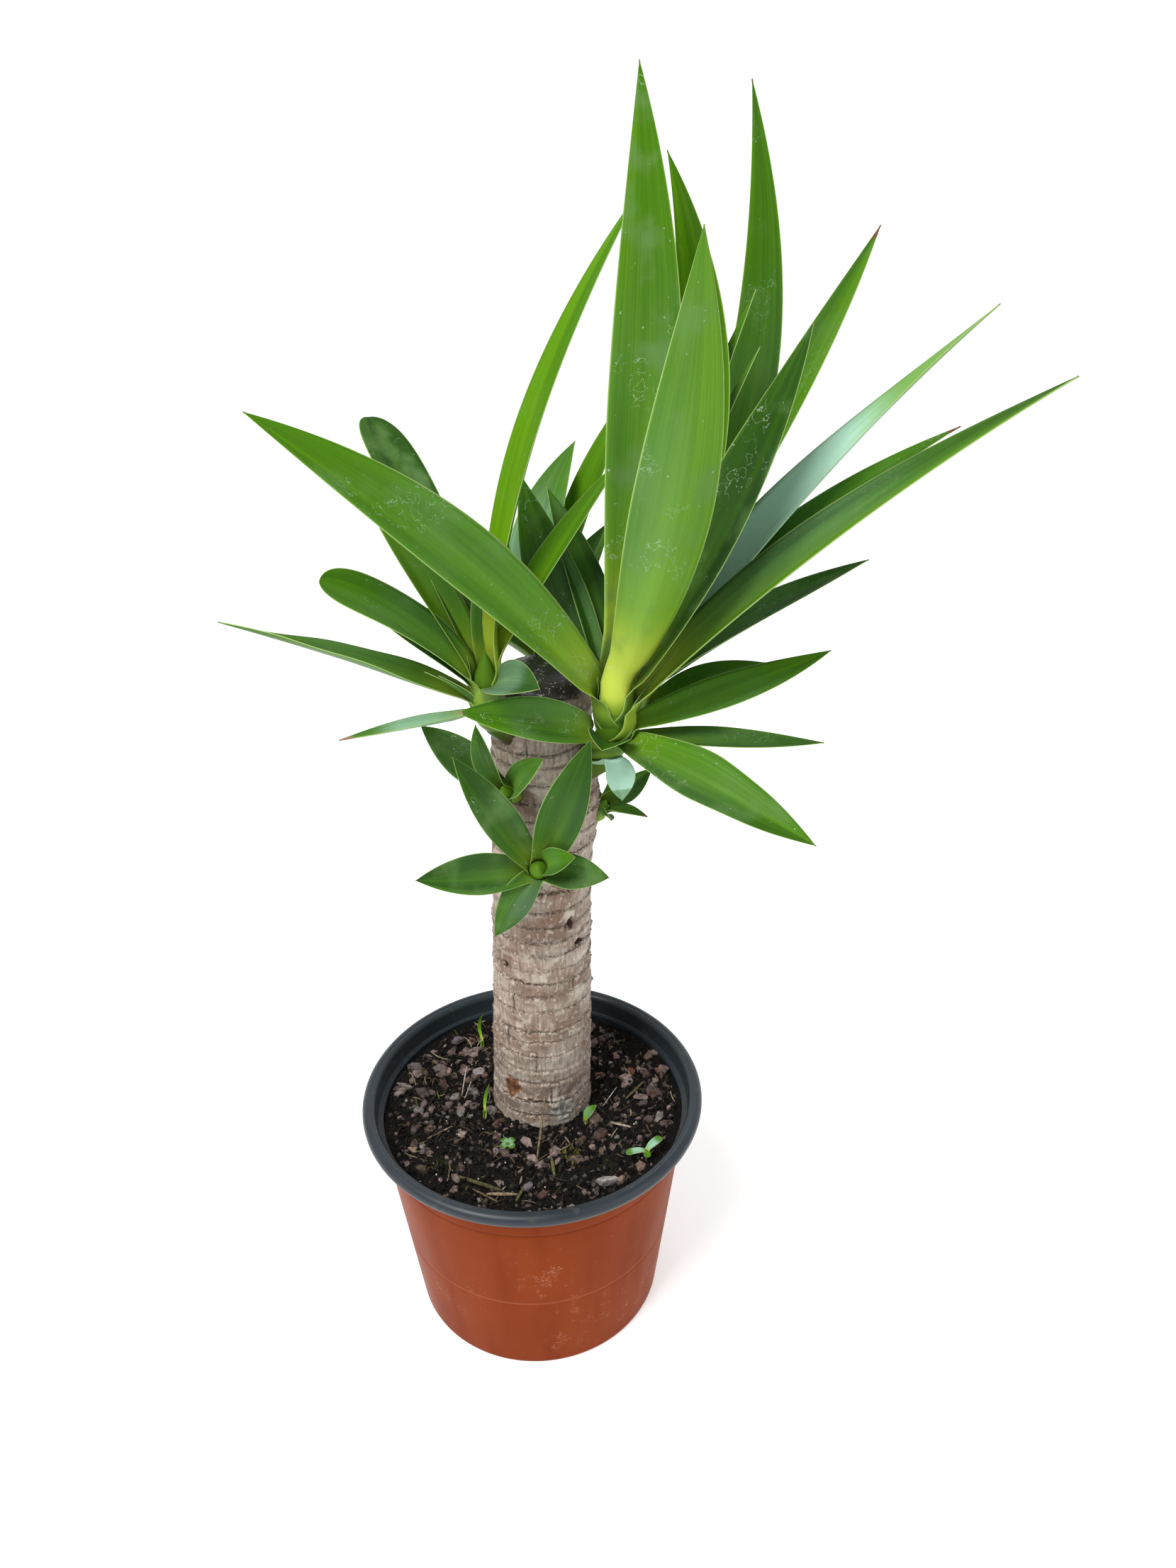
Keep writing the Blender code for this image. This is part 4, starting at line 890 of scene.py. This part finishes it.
SHOOTS = [
    Shoot(
        "head_right", "foliage_right", (0.041, -0.008, 0.334), UP,
        [(0.023, 0.005, 0.301), (0.036, -0.004, 0.312), (0.041, -0.008, 0.326), (0.041, -0.008, 0.352)],
        0.0095,
        [
            Leaf(0.014, 60, 86, 0.219, 0.0318, -0.04, MID._replace(spots=1), -15, -0.02, 5),
            Leaf(0.01, -60, 74, 0.182, 0.033, -0.07, BRIGHT, 30),
            Leaf(0.014, 62, 78, 0.196, 0.03, -0.06, FRESH, 8, -0.11),
            Leaf(0.01, 50, 70, 0.233, 0.026, -0.17, GREEN, -8, -0.03),
            Leaf(0.006, 35, 53, 0.216, 0.027, 0.02, MID._replace(lit=-0.5, dry=1), 0, -0.04),
            Leaf(0.006, 0, 65, 0.16, 0.028, -0.02, DEEP._replace(spots=0.8), -42, -0.03),
            # Its tone and painted sheen are raised high to paint light over the shadow that the leaves on its
            # left cast on it.
            Leaf(0.0, 22, 42, 0.224, 0.03, 0.03, SHEENED._replace(tone=1.1, silver=1.8), -18, 0, 45),
            Leaf(-0.004, 13, 39, 0.178, 0.024, 0.05, GREEN._replace(dry=1), -6, 0.03),
            Leaf(-0.002, -8, 41, 0.209, 0.028, 0.036, HALF_LIT, -28, 0, 25),
            Leaf(-0.008, 5, 20, 0.092, 0.021, -0.03, MID._replace(glow=0.2), -22),
            Leaf(-0.012, -8, 2, 0.083, 0.016, -0.01, DEEP, -10),
            Leaf(-0.012, -42, -8, 0.097, 0.025, 0.04, HANGING, -25, -0.04, wave=0.06),
            Leaf(0.004, 190, 44, 0.177, 0.032, 0.045, MID._replace(glow=0.35, spots=0.5), 48),
            Leaf(-0.01, 203, 20, 0.067, 0.021, 0.02, GREEN._replace(spots=1, dry=1), 50),
            Leaf(0.002, 137, 62.5, 0.1, 0.026, -0.03, SHADED, 30, 0.02),
            Leaf(0.0, 117, 56, 0.098, 0.021, 0.08, DEEP._replace(tone=0.25, spots=0.6), -10),
            Leaf(-0.018, 283, -56, 0.019, 0.014, 0.05, SHEENED._replace(silver=7)),
            Leaf(-0.015, 258, 25, 0.024, 0.02, 0.12, DEEP, 10),
            Leaf(0.01, 62, 55, 0.12, 0.025, 0.05, GREEN),
            Leaf(0.002, 70, 40, 0.13, 0.024, 0.08, GREEN),
            Leaf(0.012, 27, 69, 0.158, 0.014, 0.02, FRESH),
            Leaf(0.01, 24, 66, 0.142, 0.012, 0.03, FRESH._replace(silver=0.3)),
        ],
    ),
    Shoot(
        "head_left", "foliage_left", (-0.011, -0.008, 0.345), UP,
        [(0.0, 0.003, 0.318), (-0.008, -0.005, 0.328), (-0.011, -0.008, 0.34), (-0.011, -0.008, 0.362)],
        0.0072,
        [
            Leaf(0.01, 22, 69.5, 0.184, 0.02, 0.058, FRESH, -8, 0.02),
            Leaf(0.008, 20, 55, 0.099, 0.016, 0.03, FRESH, -14),
            Leaf(0.004, 122, 43, 0.132, 0.024, 0.05, DEEP._replace(spots=0.8, dry=0), -5, blunt=1),
            Leaf(0.0, 196, 42, 0.079, 0.024, 0.06, GREEN._replace(spots=0.5, dry=0), 28, blunt=1),
            Leaf(-0.002, 170, 37, 0.048, 0.02, 0.09, MID, 18),
            Leaf(0.002, -62, 20, 0.05, 0.018, 0.05, DEEP._replace(silver=0.3), -45),
            Leaf(0.0, 150, 55, 0.093, 0.024, 0.03, BRIGHT),
            Leaf(-0.006, 180, 20, 0.109, 0.02, 0.01, GREEN, 20, 0, -50, wave=0.05),
            Leaf(-0.01, 205, 1, 0.06, 0.011, 0, MID._replace(silver=0.6, dry=3), -2),
            Leaf(0.006, 80, 46, 0.062, 0.02, 0.06, GREEN),
            Leaf(-0.008, 207, 47, 0.0256, 0.007, 0.05, DEEP),
            Leaf(-0.008, 199, 42, 0.03, 0.007, 0.05, GREEN),
        ],
    ),
    Shoot(
        "head_back_right", "foliage_back_right", (0.054, 0.03, 0.322), UP,
        [(0.022, 0.022, 0.298), (0.038, 0.026, 0.305), (0.051, 0.029, 0.312), (0.054, 0.03, 0.336)],
        0.0062,
        [
            Leaf(0.004, 5, 31, 0.112, 0.023, 0.03, DEEP._replace(tone=0.2, silver=0.1, spots=0.6), -8),
            Leaf(-0.004, -5, 25, 0.057, 0.017, 0.06, GREEN, -10),
            Leaf(0.0, 45, 40, 0.075, 0.02, 0.06, GREEN),
            Leaf(0.004, 85, 58, 0.085, 0.02, 0.08, MID),
            Leaf(0.0, 130, 35, 0.06, 0.018, 0.08, GREEN),
        ],
    ),
    Shoot(
        "head_back", "foliage_back", (0.012, 0.048, 0.336), UP,
        [(0.011, 0.03, 0.312), (0.012, 0.04, 0.319), (0.012, 0.048, 0.33), (0.012, 0.048, 0.35)],
        0.0065,
        [
            Leaf(0.008, 24, 69, 0.118, 0.019, 0.05, FRESH, -15),
            Leaf(0.004, 57, 75, 0.092, 0.028, 0.19, GREEN._replace(silver=0.4, lit=-0.3)),
            Leaf(0.006, 30, 60, 0.06, 0.02, 0.05, MID),
            Leaf(0.004, 60, 38, 0.07, 0.021, 0.06, GREEN),
            Leaf(0.002, 100, 34, 0.08, 0.02, 0.1, GREEN),
            Leaf(0.0, 145, 44, 0.075, 0.021, 0.08, MID),
            Leaf(-0.004, 175, 26, 0.062, 0.019, 0.08, DEEP),
        ],
    ),
    Shoot(
        "rosette_front", "foliage_front", (0.008, -0.015, 0.263), (0.1, -0.8, 0.6),
        [(0.008, -0.003, 0.258), (0.008, -0.01, 0.26), (0.008, -0.018, 0.264), (0.008, -0.023, 0.269)],
        0.0052,
        [
            Leaf(0.001, 213, 61, 0.073, 0.018, -0.02, DEEP._replace(spots=1)),
            Leaf(0.003, -38, 68, 0.073, 0.021, 0.03, DEEP._replace(spots=0.5)),
            Leaf(-0.001, 195, 5, 0.052, 0.02, 0.06, DEEP._replace(spots=0.6)),
            Leaf(0.0, -22, 5, 0.031, 0.017, 0.06, DEEP._replace(spots=1)),
            Leaf(0.001, 228, -40, 0.034, 0.016, 0.05, DEEP._replace(silver=0.1, spots=0.8, lit=-0.6)),
            Leaf(0.003, -50, 32, 0.027, 0.013, 0.04, GREEN),
        ],
    ),
    Shoot(
        "sprout_left", "foliage_sprout_left", (-0.004, -0.012, 0.298), (-0.5, -0.6, 0.6),
        [(0.0, -0.003, 0.293), (-0.002, -0.007, 0.295), (-0.004, -0.012, 0.298), (-0.006, -0.015, 0.304)],
        0.0042,
        [
            Leaf(0.002, 190, 46, 0.047, 0.019, -0.08, DEEP._replace(spots=0.7)),
            Leaf(0.003, 215, 70, 0.036, 0.014, 0.05, DEEP),
            Leaf(0.0, -45, 50, 0.033, 0.015, 0.05, GREEN._replace(dry=1)),
            Leaf(0.0, 165, 5, 0.018, 0.01, 0.05, SHEENED._replace(silver=7)),
        ],
    ),
    Shoot(
        "sprout_right", "foliage_sprout_right", (0.035, 0.01, 0.278), (0.8, -0.3, 0.5),
        [(0.026, 0.012, 0.273), (0.03, 0.011, 0.274), (0.035, 0.01, 0.278), (0.038, 0.009, 0.284)],
        0.0042,
        [
            Leaf(0.003, 15, 32, 0.027, 0.012, 0.05, DEEP._replace(spots=0.6)),
            Leaf(0.0, -20, 2, 0.021, 0.009, 0.05, GREEN._replace(dry=4)),
            Leaf(0.002, 60, 40, 0.024, 0.011, 0.05, GREEN),
            Leaf(0.0, -60, 0, 0.009, 0.008, 0.05, GREEN),
        ],
    ),
]

BLADE_ROWS = 54
SHEATH_ROWS = 8
BLADE_COLUMNS = 13
BLADE_THICKNESS = 0.0009
EDGE_THICKNESS = 0.0003
POINT_THINNING = 0.6
POINT_WIDTH = 0.0005
WIDEST_AT = 0.45
TAPER = 1.8
BLUNT_TAPER = 4
NECK_SHARE = 0.42
CLASP_SHARE = 0.25
CLASP_LENGTH = 0.05
FOLD = 24
CHANNEL_CURVE = 1.4
RIPPLES = 2.3
ROOT_OUTWARDS = 0.4
SHEATH_LENGTH = 0.012
SHEATH_SHARE = 0.3
SHEATH_SPREAD = 0.09
SHEATH_CORE = 0.5
FREED_LENGTH = 0.012
FREED_SHARE = 0.03
FREED_MOST = 0.4
SHEATH_SPAN = 1.9
STEM_ROWS = 30
STEM_SIDES = 28
STEM_SHARE = 0.72
STEM_MARGIN = 0.0002
STEM_SMOOTHINGS = 4
STEM_RINGS = 40
STEM_RING_DEPTH = 0.02
SPEAR_FROM = 0.78
SPEAR_THINNING = 0.97
SPEAR_CURVE = 1.6


def unit(vector):
    """The vector, or each of the vectors, with a length of 1."""
    return vector / np.linalg.norm(vector, axis=-1, keepdims=True)


def direction(heading, rise):
    """The unit vector at that heading from +X and that rise above the level, in degrees."""
    heading, rise = np.radians(heading), np.radians(rise)
    return np.array([np.cos(rise) * np.cos(heading), np.cos(rise) * np.sin(heading), np.sin(rise)])


def eased(value):
    """A smooth step from 0 at 0 to 1 at 1."""
    value = np.clip(value, 0, 1)
    return value * value * (3 - 2 * value)


def blade_width(along, leaf):
    """A clasping base, a neck, the widest place near the middle and a taper to the point."""
    rising = np.clip(along / WIDEST_AT, 0, 1)
    falling = np.clip((along - WIDEST_AT) / (1 - WIDEST_AT), 0, 1)
    taper = (1 - falling ** (TAPER + BLUNT_TAPER * leaf.blunt)) ** (1 / (1 + leaf.blunt))
    blade = (NECK_SHARE + (1 - NECK_SHARE) * np.sin(np.pi / 2 * rising)) * taper
    clasp = CLASP_SHARE * np.exp(-((along / CLASP_LENGTH) ** 2))
    return np.maximum(leaf.width * (blade + clasp), POINT_WIDTH)


def stem_centre(shoot, level):
    """Where the stem's centre line is at that level, measured along the shoot's axis from its crown."""
    axis = unit(np.array(shoot.axis))
    known = np.array(shoot.stem)
    levels = (known - shoot.crown) @ axis
    inside = np.stack([np.interp(level, levels, known[:, place]) for place in range(3)], axis=-1)
    return inside + (level - np.clip(level, levels[0], levels[-1]))[..., None] * axis


def stem_radius(shoot, share):
    """Stout where it leaves the bark, and ending in the furled spear of the youngest leaves."""
    spear = np.clip((share - SPEAR_FROM) / (1 - SPEAR_FROM), 0, 1)
    return (shoot.radius * STEM_SHARE + STEM_MARGIN) * (1 - SPEAR_THINNING * spear**SPEAR_CURVE)


def blade_grid(shoot, leaf):
    """Rings round the blade from the foot of its sheath to its point, and each row's share along.

    The centre line is root + length (s chord + 4 s (1 - s) bend). Across it, the upper face is a
    channel that rises as |u| ** CHANNEL_CURVE to its rims at u = -1 and 1, over the lower face.
    The sheath is an arc round the stem, r (cos(span u) outward + sin(span u) sideways), and the blade
    grows out of it over the first tenth of its length.
    """
    sheath_length = min(SHEATH_LENGTH, SHEATH_SHARE * leaf.length)
    foot = -sheath_length / leaf.length * np.linspace(1, 0, SHEATH_ROWS, endpoint=False)
    share = np.concatenate([foot, np.sin(np.pi / 2 * np.linspace(0, 1, BLADE_ROWS))])[:, None]
    along = np.maximum(share, 0)
    chord = direction(leaf.heading, leaf.rise)
    axis = unit(np.array(shoot.axis))
    upper = unit(axis - (axis @ chord) * chord)
    bend = leaf.bow * upper + leaf.sway * np.cross(upper, chord)
    root = np.array(shoot.crown) + np.array((0, 0, leaf.up))
    root = root + direction(leaf.heading, 0) * ROOT_OUTWARDS * shoot.radius
    centre = root + leaf.length * (along * chord + 4 * along * (1 - along) * bend)
    tangent = unit(chord + 4 * (1 - 2 * along) * bend)
    normal = unit(upper - (tangent @ upper)[:, None] * tangent)
    side = np.cross(normal, tangent)
    turn = np.radians(leaf.roll + leaf.twist * along)
    over = (normal * np.cos(turn) + side * np.sin(turn))[:, None]
    across = (side * np.cos(turn) - normal * np.sin(turn))[:, None]
    half = blade_width(along, leaf)[:, :, None] / 2
    fold = np.radians(FOLD * (1.5 - along))[:, :, None]
    u = np.linspace(-1, 1, BLADE_COLUMNS)[None, :, None]
    along = along[:, :, None]
    ripple = leaf.wave * np.sin(2 * np.pi * (RIPPLES * along + 0.25 * u)) * np.sin(np.pi * along)
    lift = np.sin(fold) * np.abs(u) ** CHANNEL_CURVE + ripple * np.abs(u)
    blade = centre[:, None] + half * (np.cos(fold) * u * across + lift * over)

    highest = max(other.up for other in shoot.leaves)
    wrap = STEM_SHARE * shoot.radius + 2 * STEM_MARGIN + SHEATH_SPREAD * (highest - leaf.up)
    tucked = eased(1 + 1.02 * share * leaf.length / sheath_length)
    core = SHEATH_CORE * shoot.radius
    hold = core + (wrap - core) * tucked**0.5
    outward = unit(chord - (chord @ axis) * axis)
    sideways = np.cross(axis, outward)
    rise = share * leaf.length * np.where(share > 0, max(chord @ axis, 0.3), 1)
    narrow = np.minimum(half[:, :, 0] * 0.9 / wrap, SHEATH_SPAN)
    span = (narrow + (SHEATH_SPAN - narrow) * eased(-share * leaf.length / sheath_length))[:, :, None]
    round_stem = np.cos(span * u) * outward + np.sin(span * u) * sideways
    sheath = stem_centre(shoot, leaf.up * axis[2] + rise) + hold[:, :, None] * round_stem

    free = eased(along / min(FREED_LENGTH / leaf.length + FREED_SHARE, FREED_MOST))
    top = sheath * (1 - free) + blade * free
    over = unit(over * free - round_stem * (1 - free))
    thick = EDGE_THICKNESS + (BLADE_THICKNESS - EDGE_THICKNESS) * (1 - u**2) * (1 - POINT_THINNING * along)
    under = top - thick * over
    return np.concatenate([top, under[:, ::-1]], axis=1), share


def stem_grid(shoot):
    """A smooth tube along the stem's points, with each ring's share along it."""
    known = np.array(shoot.stem)
    share = np.linspace(0, 1, STEM_ROWS)
    at = np.linspace(0, 1, len(known))
    centre = np.column_stack([np.interp(share, at, known[:, axis]) for axis in range(3)])
    for smoothing in range(STEM_SMOOTHINGS):
        centre[1:-1] = (centre[:-2] + 2 * centre[1:-1] + centre[2:]) / 4
    tangent = unit(np.gradient(centre, axis=0))
    across = unit(np.cross(tangent, (0.2, 1.0, 0.1)))
    other = np.cross(tangent, across)
    angle = circle(STEM_SIDES)[:, None]
    ringed = 1 + STEM_RING_DEPTH * np.sin(STEM_RINGS * share)
    radius = (stem_radius(shoot, share) * ringed)[:, None, None]
    grid = centre[:, None] + radius * (np.cos(angle) * across[:, None] + np.sin(angle) * other[:, None])
    return grid, share[:, None]


blade_green, shader, place = new_material("leaf_blade", 0.38, 0.07)
across, metres, share = three_values(shader, "blade")
tone, glow, silver = three_values(shader, "look")
lit, spots, dry = three_values(shader, "habit")
under, chance, stem = three_values(shader, "trait")


def streaks(fine, long, detail):
    """Noise drawn out along the blade, different on each leaf."""
    inputs = {0: times(across, fine), 1: times(metres, long), 2: times(chance, 60.0)}
    return noise(add_node("CombineXYZ", inputs).outputs[0], 1.0, detail)


from_middle = maths("ABSOLUTE", across)
lengthwise = streaks(2.2, 7.0, 3)
veins = streaks(24.0, 9.0, 3)
half_lit = times(lit, step(across, -0.35, 0.35, -0.5, 0.5))
lightness = plus(tone, times(half_lit, 0.6), step(lengthwise, 0.3, 0.7, -0.14, 0.14))
# glow also paints the light that shines through the blade: a lighter stripe along its middle and a bright
# yellow-green lower half, over the base's own pale yellow.
midstripe = times(step(from_middle, 0.1, 0.65, 1, 0), step(share, 0.25, 0.75, 1, 0))
midstripe = times(midstripe, step(glow, 0.2, 1.0, 0.15, 0.75))
base_glow = step(glow, 0.1, 1.0, 0.06, 1)
base_yellow_and_glow = times(base_glow, step(share, 0.06, 0.46, 1, 0), 0.85)
pale_base = times(base_glow, step(share, 0.03, 0.27, 1, 0), step(metres, -0.009, 0.002, 0.15, 1))
# The painted sheen: a reflection of the sky painted along the blade, faint at its base and tip and on the
# half that is painted lit.
sheen = times(silver, step(lengthwise, 0.2, 0.7, 0.6, 1), step(streaks(60.0, 12.0, 2), 0.35, 0.65, 0.72, 1))
sheen = times(sheen, step(share, 0.02, 0.35, 0.15, 1), step(share, 0.55, 0.8, 1, 0.08))
sheen = times(sheen, step(half_lit, 0.05, 0.4, 1, 0.1))
cloud = noise(place, 60, 4)
dust = times(spots, step(cloud, 0.48, 0.72, 0, 0.75))
ring = apart(noise(place, 260, 2), 0.55)
rings = times(step(ring, 0.003, 0.012, 1, 0), step(noise(place, 46, 3), 0.56, 0.62))
flecks = step(noise(place, 620, 1), 0.76, 0.8)
marks = times(maths("MAXIMUM", rings, flecks), spots, 0.75)
dead = step(plus(share, times(dry, 0.035)), 1.0, 1.012)
colour = layered(
    blend(step(lightness, -0.05, 0.55), (0.02, 0.066, 0.006), (0.055, 0.168, 0.003)),
    (step(lightness, 0.45, 1.15), (0.125, 0.3, 0.002)),
    (step(veins, 0.4, 0.62, 0, 0.22), (0.014, 0.052, 0.004)),
    (midstripe, (0.15, 0.31, 0.004)),
    (base_yellow_and_glow, (0.2, 0.38, 0.004)),
    (pale_base, (0.6, 0.68, 0.07)),
    (times(under, 0.35), (0.085, 0.19, 0.04)),
    # the painted sheen's grey-blue colour
    (sheen, (0.4, 0.64, 0.52)),
    (dust, (0.105, 0.205, 0.06)),
    (marks, (0.4, 0.5, 0.38)),
    (step(from_middle, 0.95, 1.0, 0, 0.9), (0.33, 0.48, 0.15)),
    (stem, blend(step(share, 0.1, 0.45), (0.075, 0.06, 0.03), (0.08, 0.18, 0.012))),
    (dead, blend(chance, (0.13, 0.06, 0.025), (0.3, 0.23, 0.12))),
)
dulled = step(plus(dust, marks), 0.0, 0.5, 0.36, 0.55)
finish(shader, colour, plus(veins, times(cloud, 0.3)), 0.0003, 0.5, dulled)

STEM_LOOK = Look(0.4, 0, 0, 0, 0, 0)
STEM_METRES = 0.02


def add_foliage(shoot, rng):
    """One piece for a shoot's stem and leaves, painted with what its material reads at each point."""
    grids = []
    stored = {"blade": [], "look": [], "habit": [], "trait": []}

    def add_part(grid, share, u, length, look, trait):
        grids.append(grid)
        parts = {"blade": (u, share * length, share), "look": look[:3], "habit": look[3:], "trait": trait}
        for name, three in parts.items():
            values = np.stack([np.broadcast_to(value, grid.shape[:2]) for value in three], axis=-1)
            stored[name].append(values.reshape(-1, 3))

    add_part(*stem_grid(shoot), 0.0, STEM_METRES, STEM_LOOK, (0.0, 0.5, 1.0))
    u = np.linspace(-1, 1, BLADE_COLUMNS)
    lower = np.arange(2 * BLADE_COLUMNS) >= BLADE_COLUMNS
    for leaf in shoot.leaves:
        trait = (lower, rng.uniform(0, 1), 0.0)
        add_part(*blade_grid(shoot, leaf), np.concatenate([u, u[::-1]]), leaf.length, leaf.look, trait)
    foliage = add_piece(lofted(shoot.piece, grids), blade_green, shoot.name)
    for name, values in stored.items():
        paint(foliage, name, np.concatenate(values))


rng = np.random.default_rng(5)
for shoot in SHOOTS:
    add_foliage(shoot, rng)

# The seedlings
# Weeds that have come up in the compost: one with four round leaves, one with two long ones, two
# yellowish blades, and a pale leaf at the foot of the cane.

ROUND_LEAF = MID._replace(tone=0.4, silver=0.5, glow=0)
LONG_LEAF = FRESH._replace(tone=0.62, silver=0.9)
PALE_LEAF = FRESH._replace(silver=0.25)
# The piece's name, its place in metres from the middle of the pot, its height and its leaves.
SEEDLINGS = (
    (
        "seedling_four_leaves",
        (-0.0112, -0.0304),
        0.005,
        [Leaf(0, heading, 12, 0.004, 0.0034, 0.08, ROUND_LEAF, blunt=1) for heading in (45, 135, 225, 315)],
    ),
    (
        "seedling_two_leaves",
        (0.0555, -0.037),
        0.005,
        [
            Leaf(0, 195, 8, 0.01, 0.004, 0.05, LONG_LEAF, blunt=1),
            Leaf(0, 40, 14, 0.01, 0.0045, 0.05, LONG_LEAF, blunt=1),
            Leaf(0, 280, 5, 0.004, 0.003, 0.05, FRESH, blunt=1),
        ],
    ),
    (
        "sprouting_blade_back",
        (-0.0297, 0.048),
        0.004,
        [Leaf(0, 80, 75, 0.015, 0.002, -0.2, BRIGHT, 0, 0.15)],
    ),
    (
        "sprouting_blade_left",
        (-0.0249, -0.0035),
        0.004,
        [Leaf(0, 60, 68, 0.014, 0.002, -0.15, BRIGHT, 0, 0.12)],
    ),
    ("pale_leaf_at_foot", (0.0262, -0.0075), 0.0008, [Leaf(0, 30, 50, 0.01, 0.006, 0.1, PALE_LEAF)]),
)
SEEDLING_STEM_RADIUS = 0.0006
for name, (x, y), tall, leaves in SEEDLINGS:
    ground = float(soil_height(x, y))
    crown = (x, y, ground + tall)
    stem = [(x, y - 0.001, ground - 0.001), (x, y, ground + tall / 2), crown, (x, y, ground + tall + 0.0004)]
    add_foliage(Shoot(None, name, crown, UP, stem, SEEDLING_STEM_RADIUS, leaves), rng)

# The studio
# A plain pale floor that curves up into a backdrop, a broad soft lamp high on the left, a weaker one
# on the right and an even white surround. None of it belongs to the plant.

FLOOR_REACH = 6.0
BACKDROP_BEND = 1.5
CAMERA_PLACE = (0.03, -0.454, 0.536)
CAMERA_TILT = 62.2
CAMERA_ROLL = -0.79
SENSOR_HEIGHT = 36
FRAME_HEIGHT = 2212
FOCAL_PIXELS = 1662

bend = arc((FLOOR_REACH / 2, BACKDROP_BEND), BACKDROP_BEND, -90, 0, 24)
sweep = np.concatenate([[(-FLOOR_REACH, 0)], bend, [(bend[-1, 0], FLOOR_REACH)]])
sheet = np.stack([np.insert(sweep, 0, side, axis=1) for side in (-FLOOR_REACH, FLOOR_REACH)], axis=1)
corner = np.arange(sheet.shape[0] * 2).reshape(-1, 2)
quads = np.column_stack([corner[:-1, 0], corner[:-1, 1], corner[1:, 1], corner[1:, 0]])
mesh = bpy.data.meshes.new("pale_floor")
mesh.from_pydata(sheet.reshape(-1, 3).tolist(), [], quads.tolist())
mesh.shade_smooth()
paper, shader = new_material("pale_paper", 0.9)[:2]
shader.inputs["Base Color"].default_value = (0.9, 0.9, 0.9, 1)
shader.inputs["Emission Color"].default_value = (1.0, 1.0, 1.0, 1)
shader.inputs["Emission Strength"].default_value = 0.35
mesh.materials.append(paper)
floor = add_object("pale_floor", mesh)


def soft_lamp(name, place, size, watts, colour, aim=(0.02, 0.0, 0.28)):
    """A square area lamp at a place, turned to face the plant."""
    light = bpy.data.lights.new(name, "AREA")
    light.size = size
    light.energy = watts
    light.color = colour
    lamp = add_object(name, light)
    away = np.array(place) - np.array(aim)
    heading = math.atan2(away[1], away[0]) + math.pi / 2
    tilt = math.acos(away[2] / np.linalg.norm(away))
    turned_to_plant = Matrix.Rotation(heading, 4, "Z") @ Matrix.Rotation(tilt, 4, "X")
    lamp.matrix_world = Matrix.Translation(place) @ turned_to_plant


soft_lamp("window_left", (-0.75, -0.85, 1.8), 0.9, 38, (1.0, 0.98, 0.95))
soft_lamp("fill_right", (1.5, -0.9, 0.9), 1.2, 7, (0.96, 0.98, 1.0))

world = bpy.data.worlds.new("white_surround")
world.use_nodes = True
world.node_tree.nodes["Background"].inputs["Color"].default_value = (1.0, 1.0, 1.0, 1)
world.node_tree.nodes["Background"].inputs["Strength"].default_value = 0.62
bpy.context.scene.world = world
bpy.context.scene.view_settings.view_transform = "Standard"

lens = bpy.data.cameras.new("photo_camera")
lens.sensor_fit = "VERTICAL"
lens.sensor_height = SENSOR_HEIGHT
lens.lens = SENSOR_HEIGHT * FOCAL_PIXELS / FRAME_HEIGHT
camera = add_object("photo_camera", lens)
tilted = Matrix.Rotation(math.radians(CAMERA_TILT), 4, "X")
rolled = Matrix.Rotation(math.radians(CAMERA_ROLL), 4, "Z")
camera.matrix_world = Matrix.Translation(CAMERA_PLACE) @ tilted @ rolled
bpy.context.scene.camera = camera
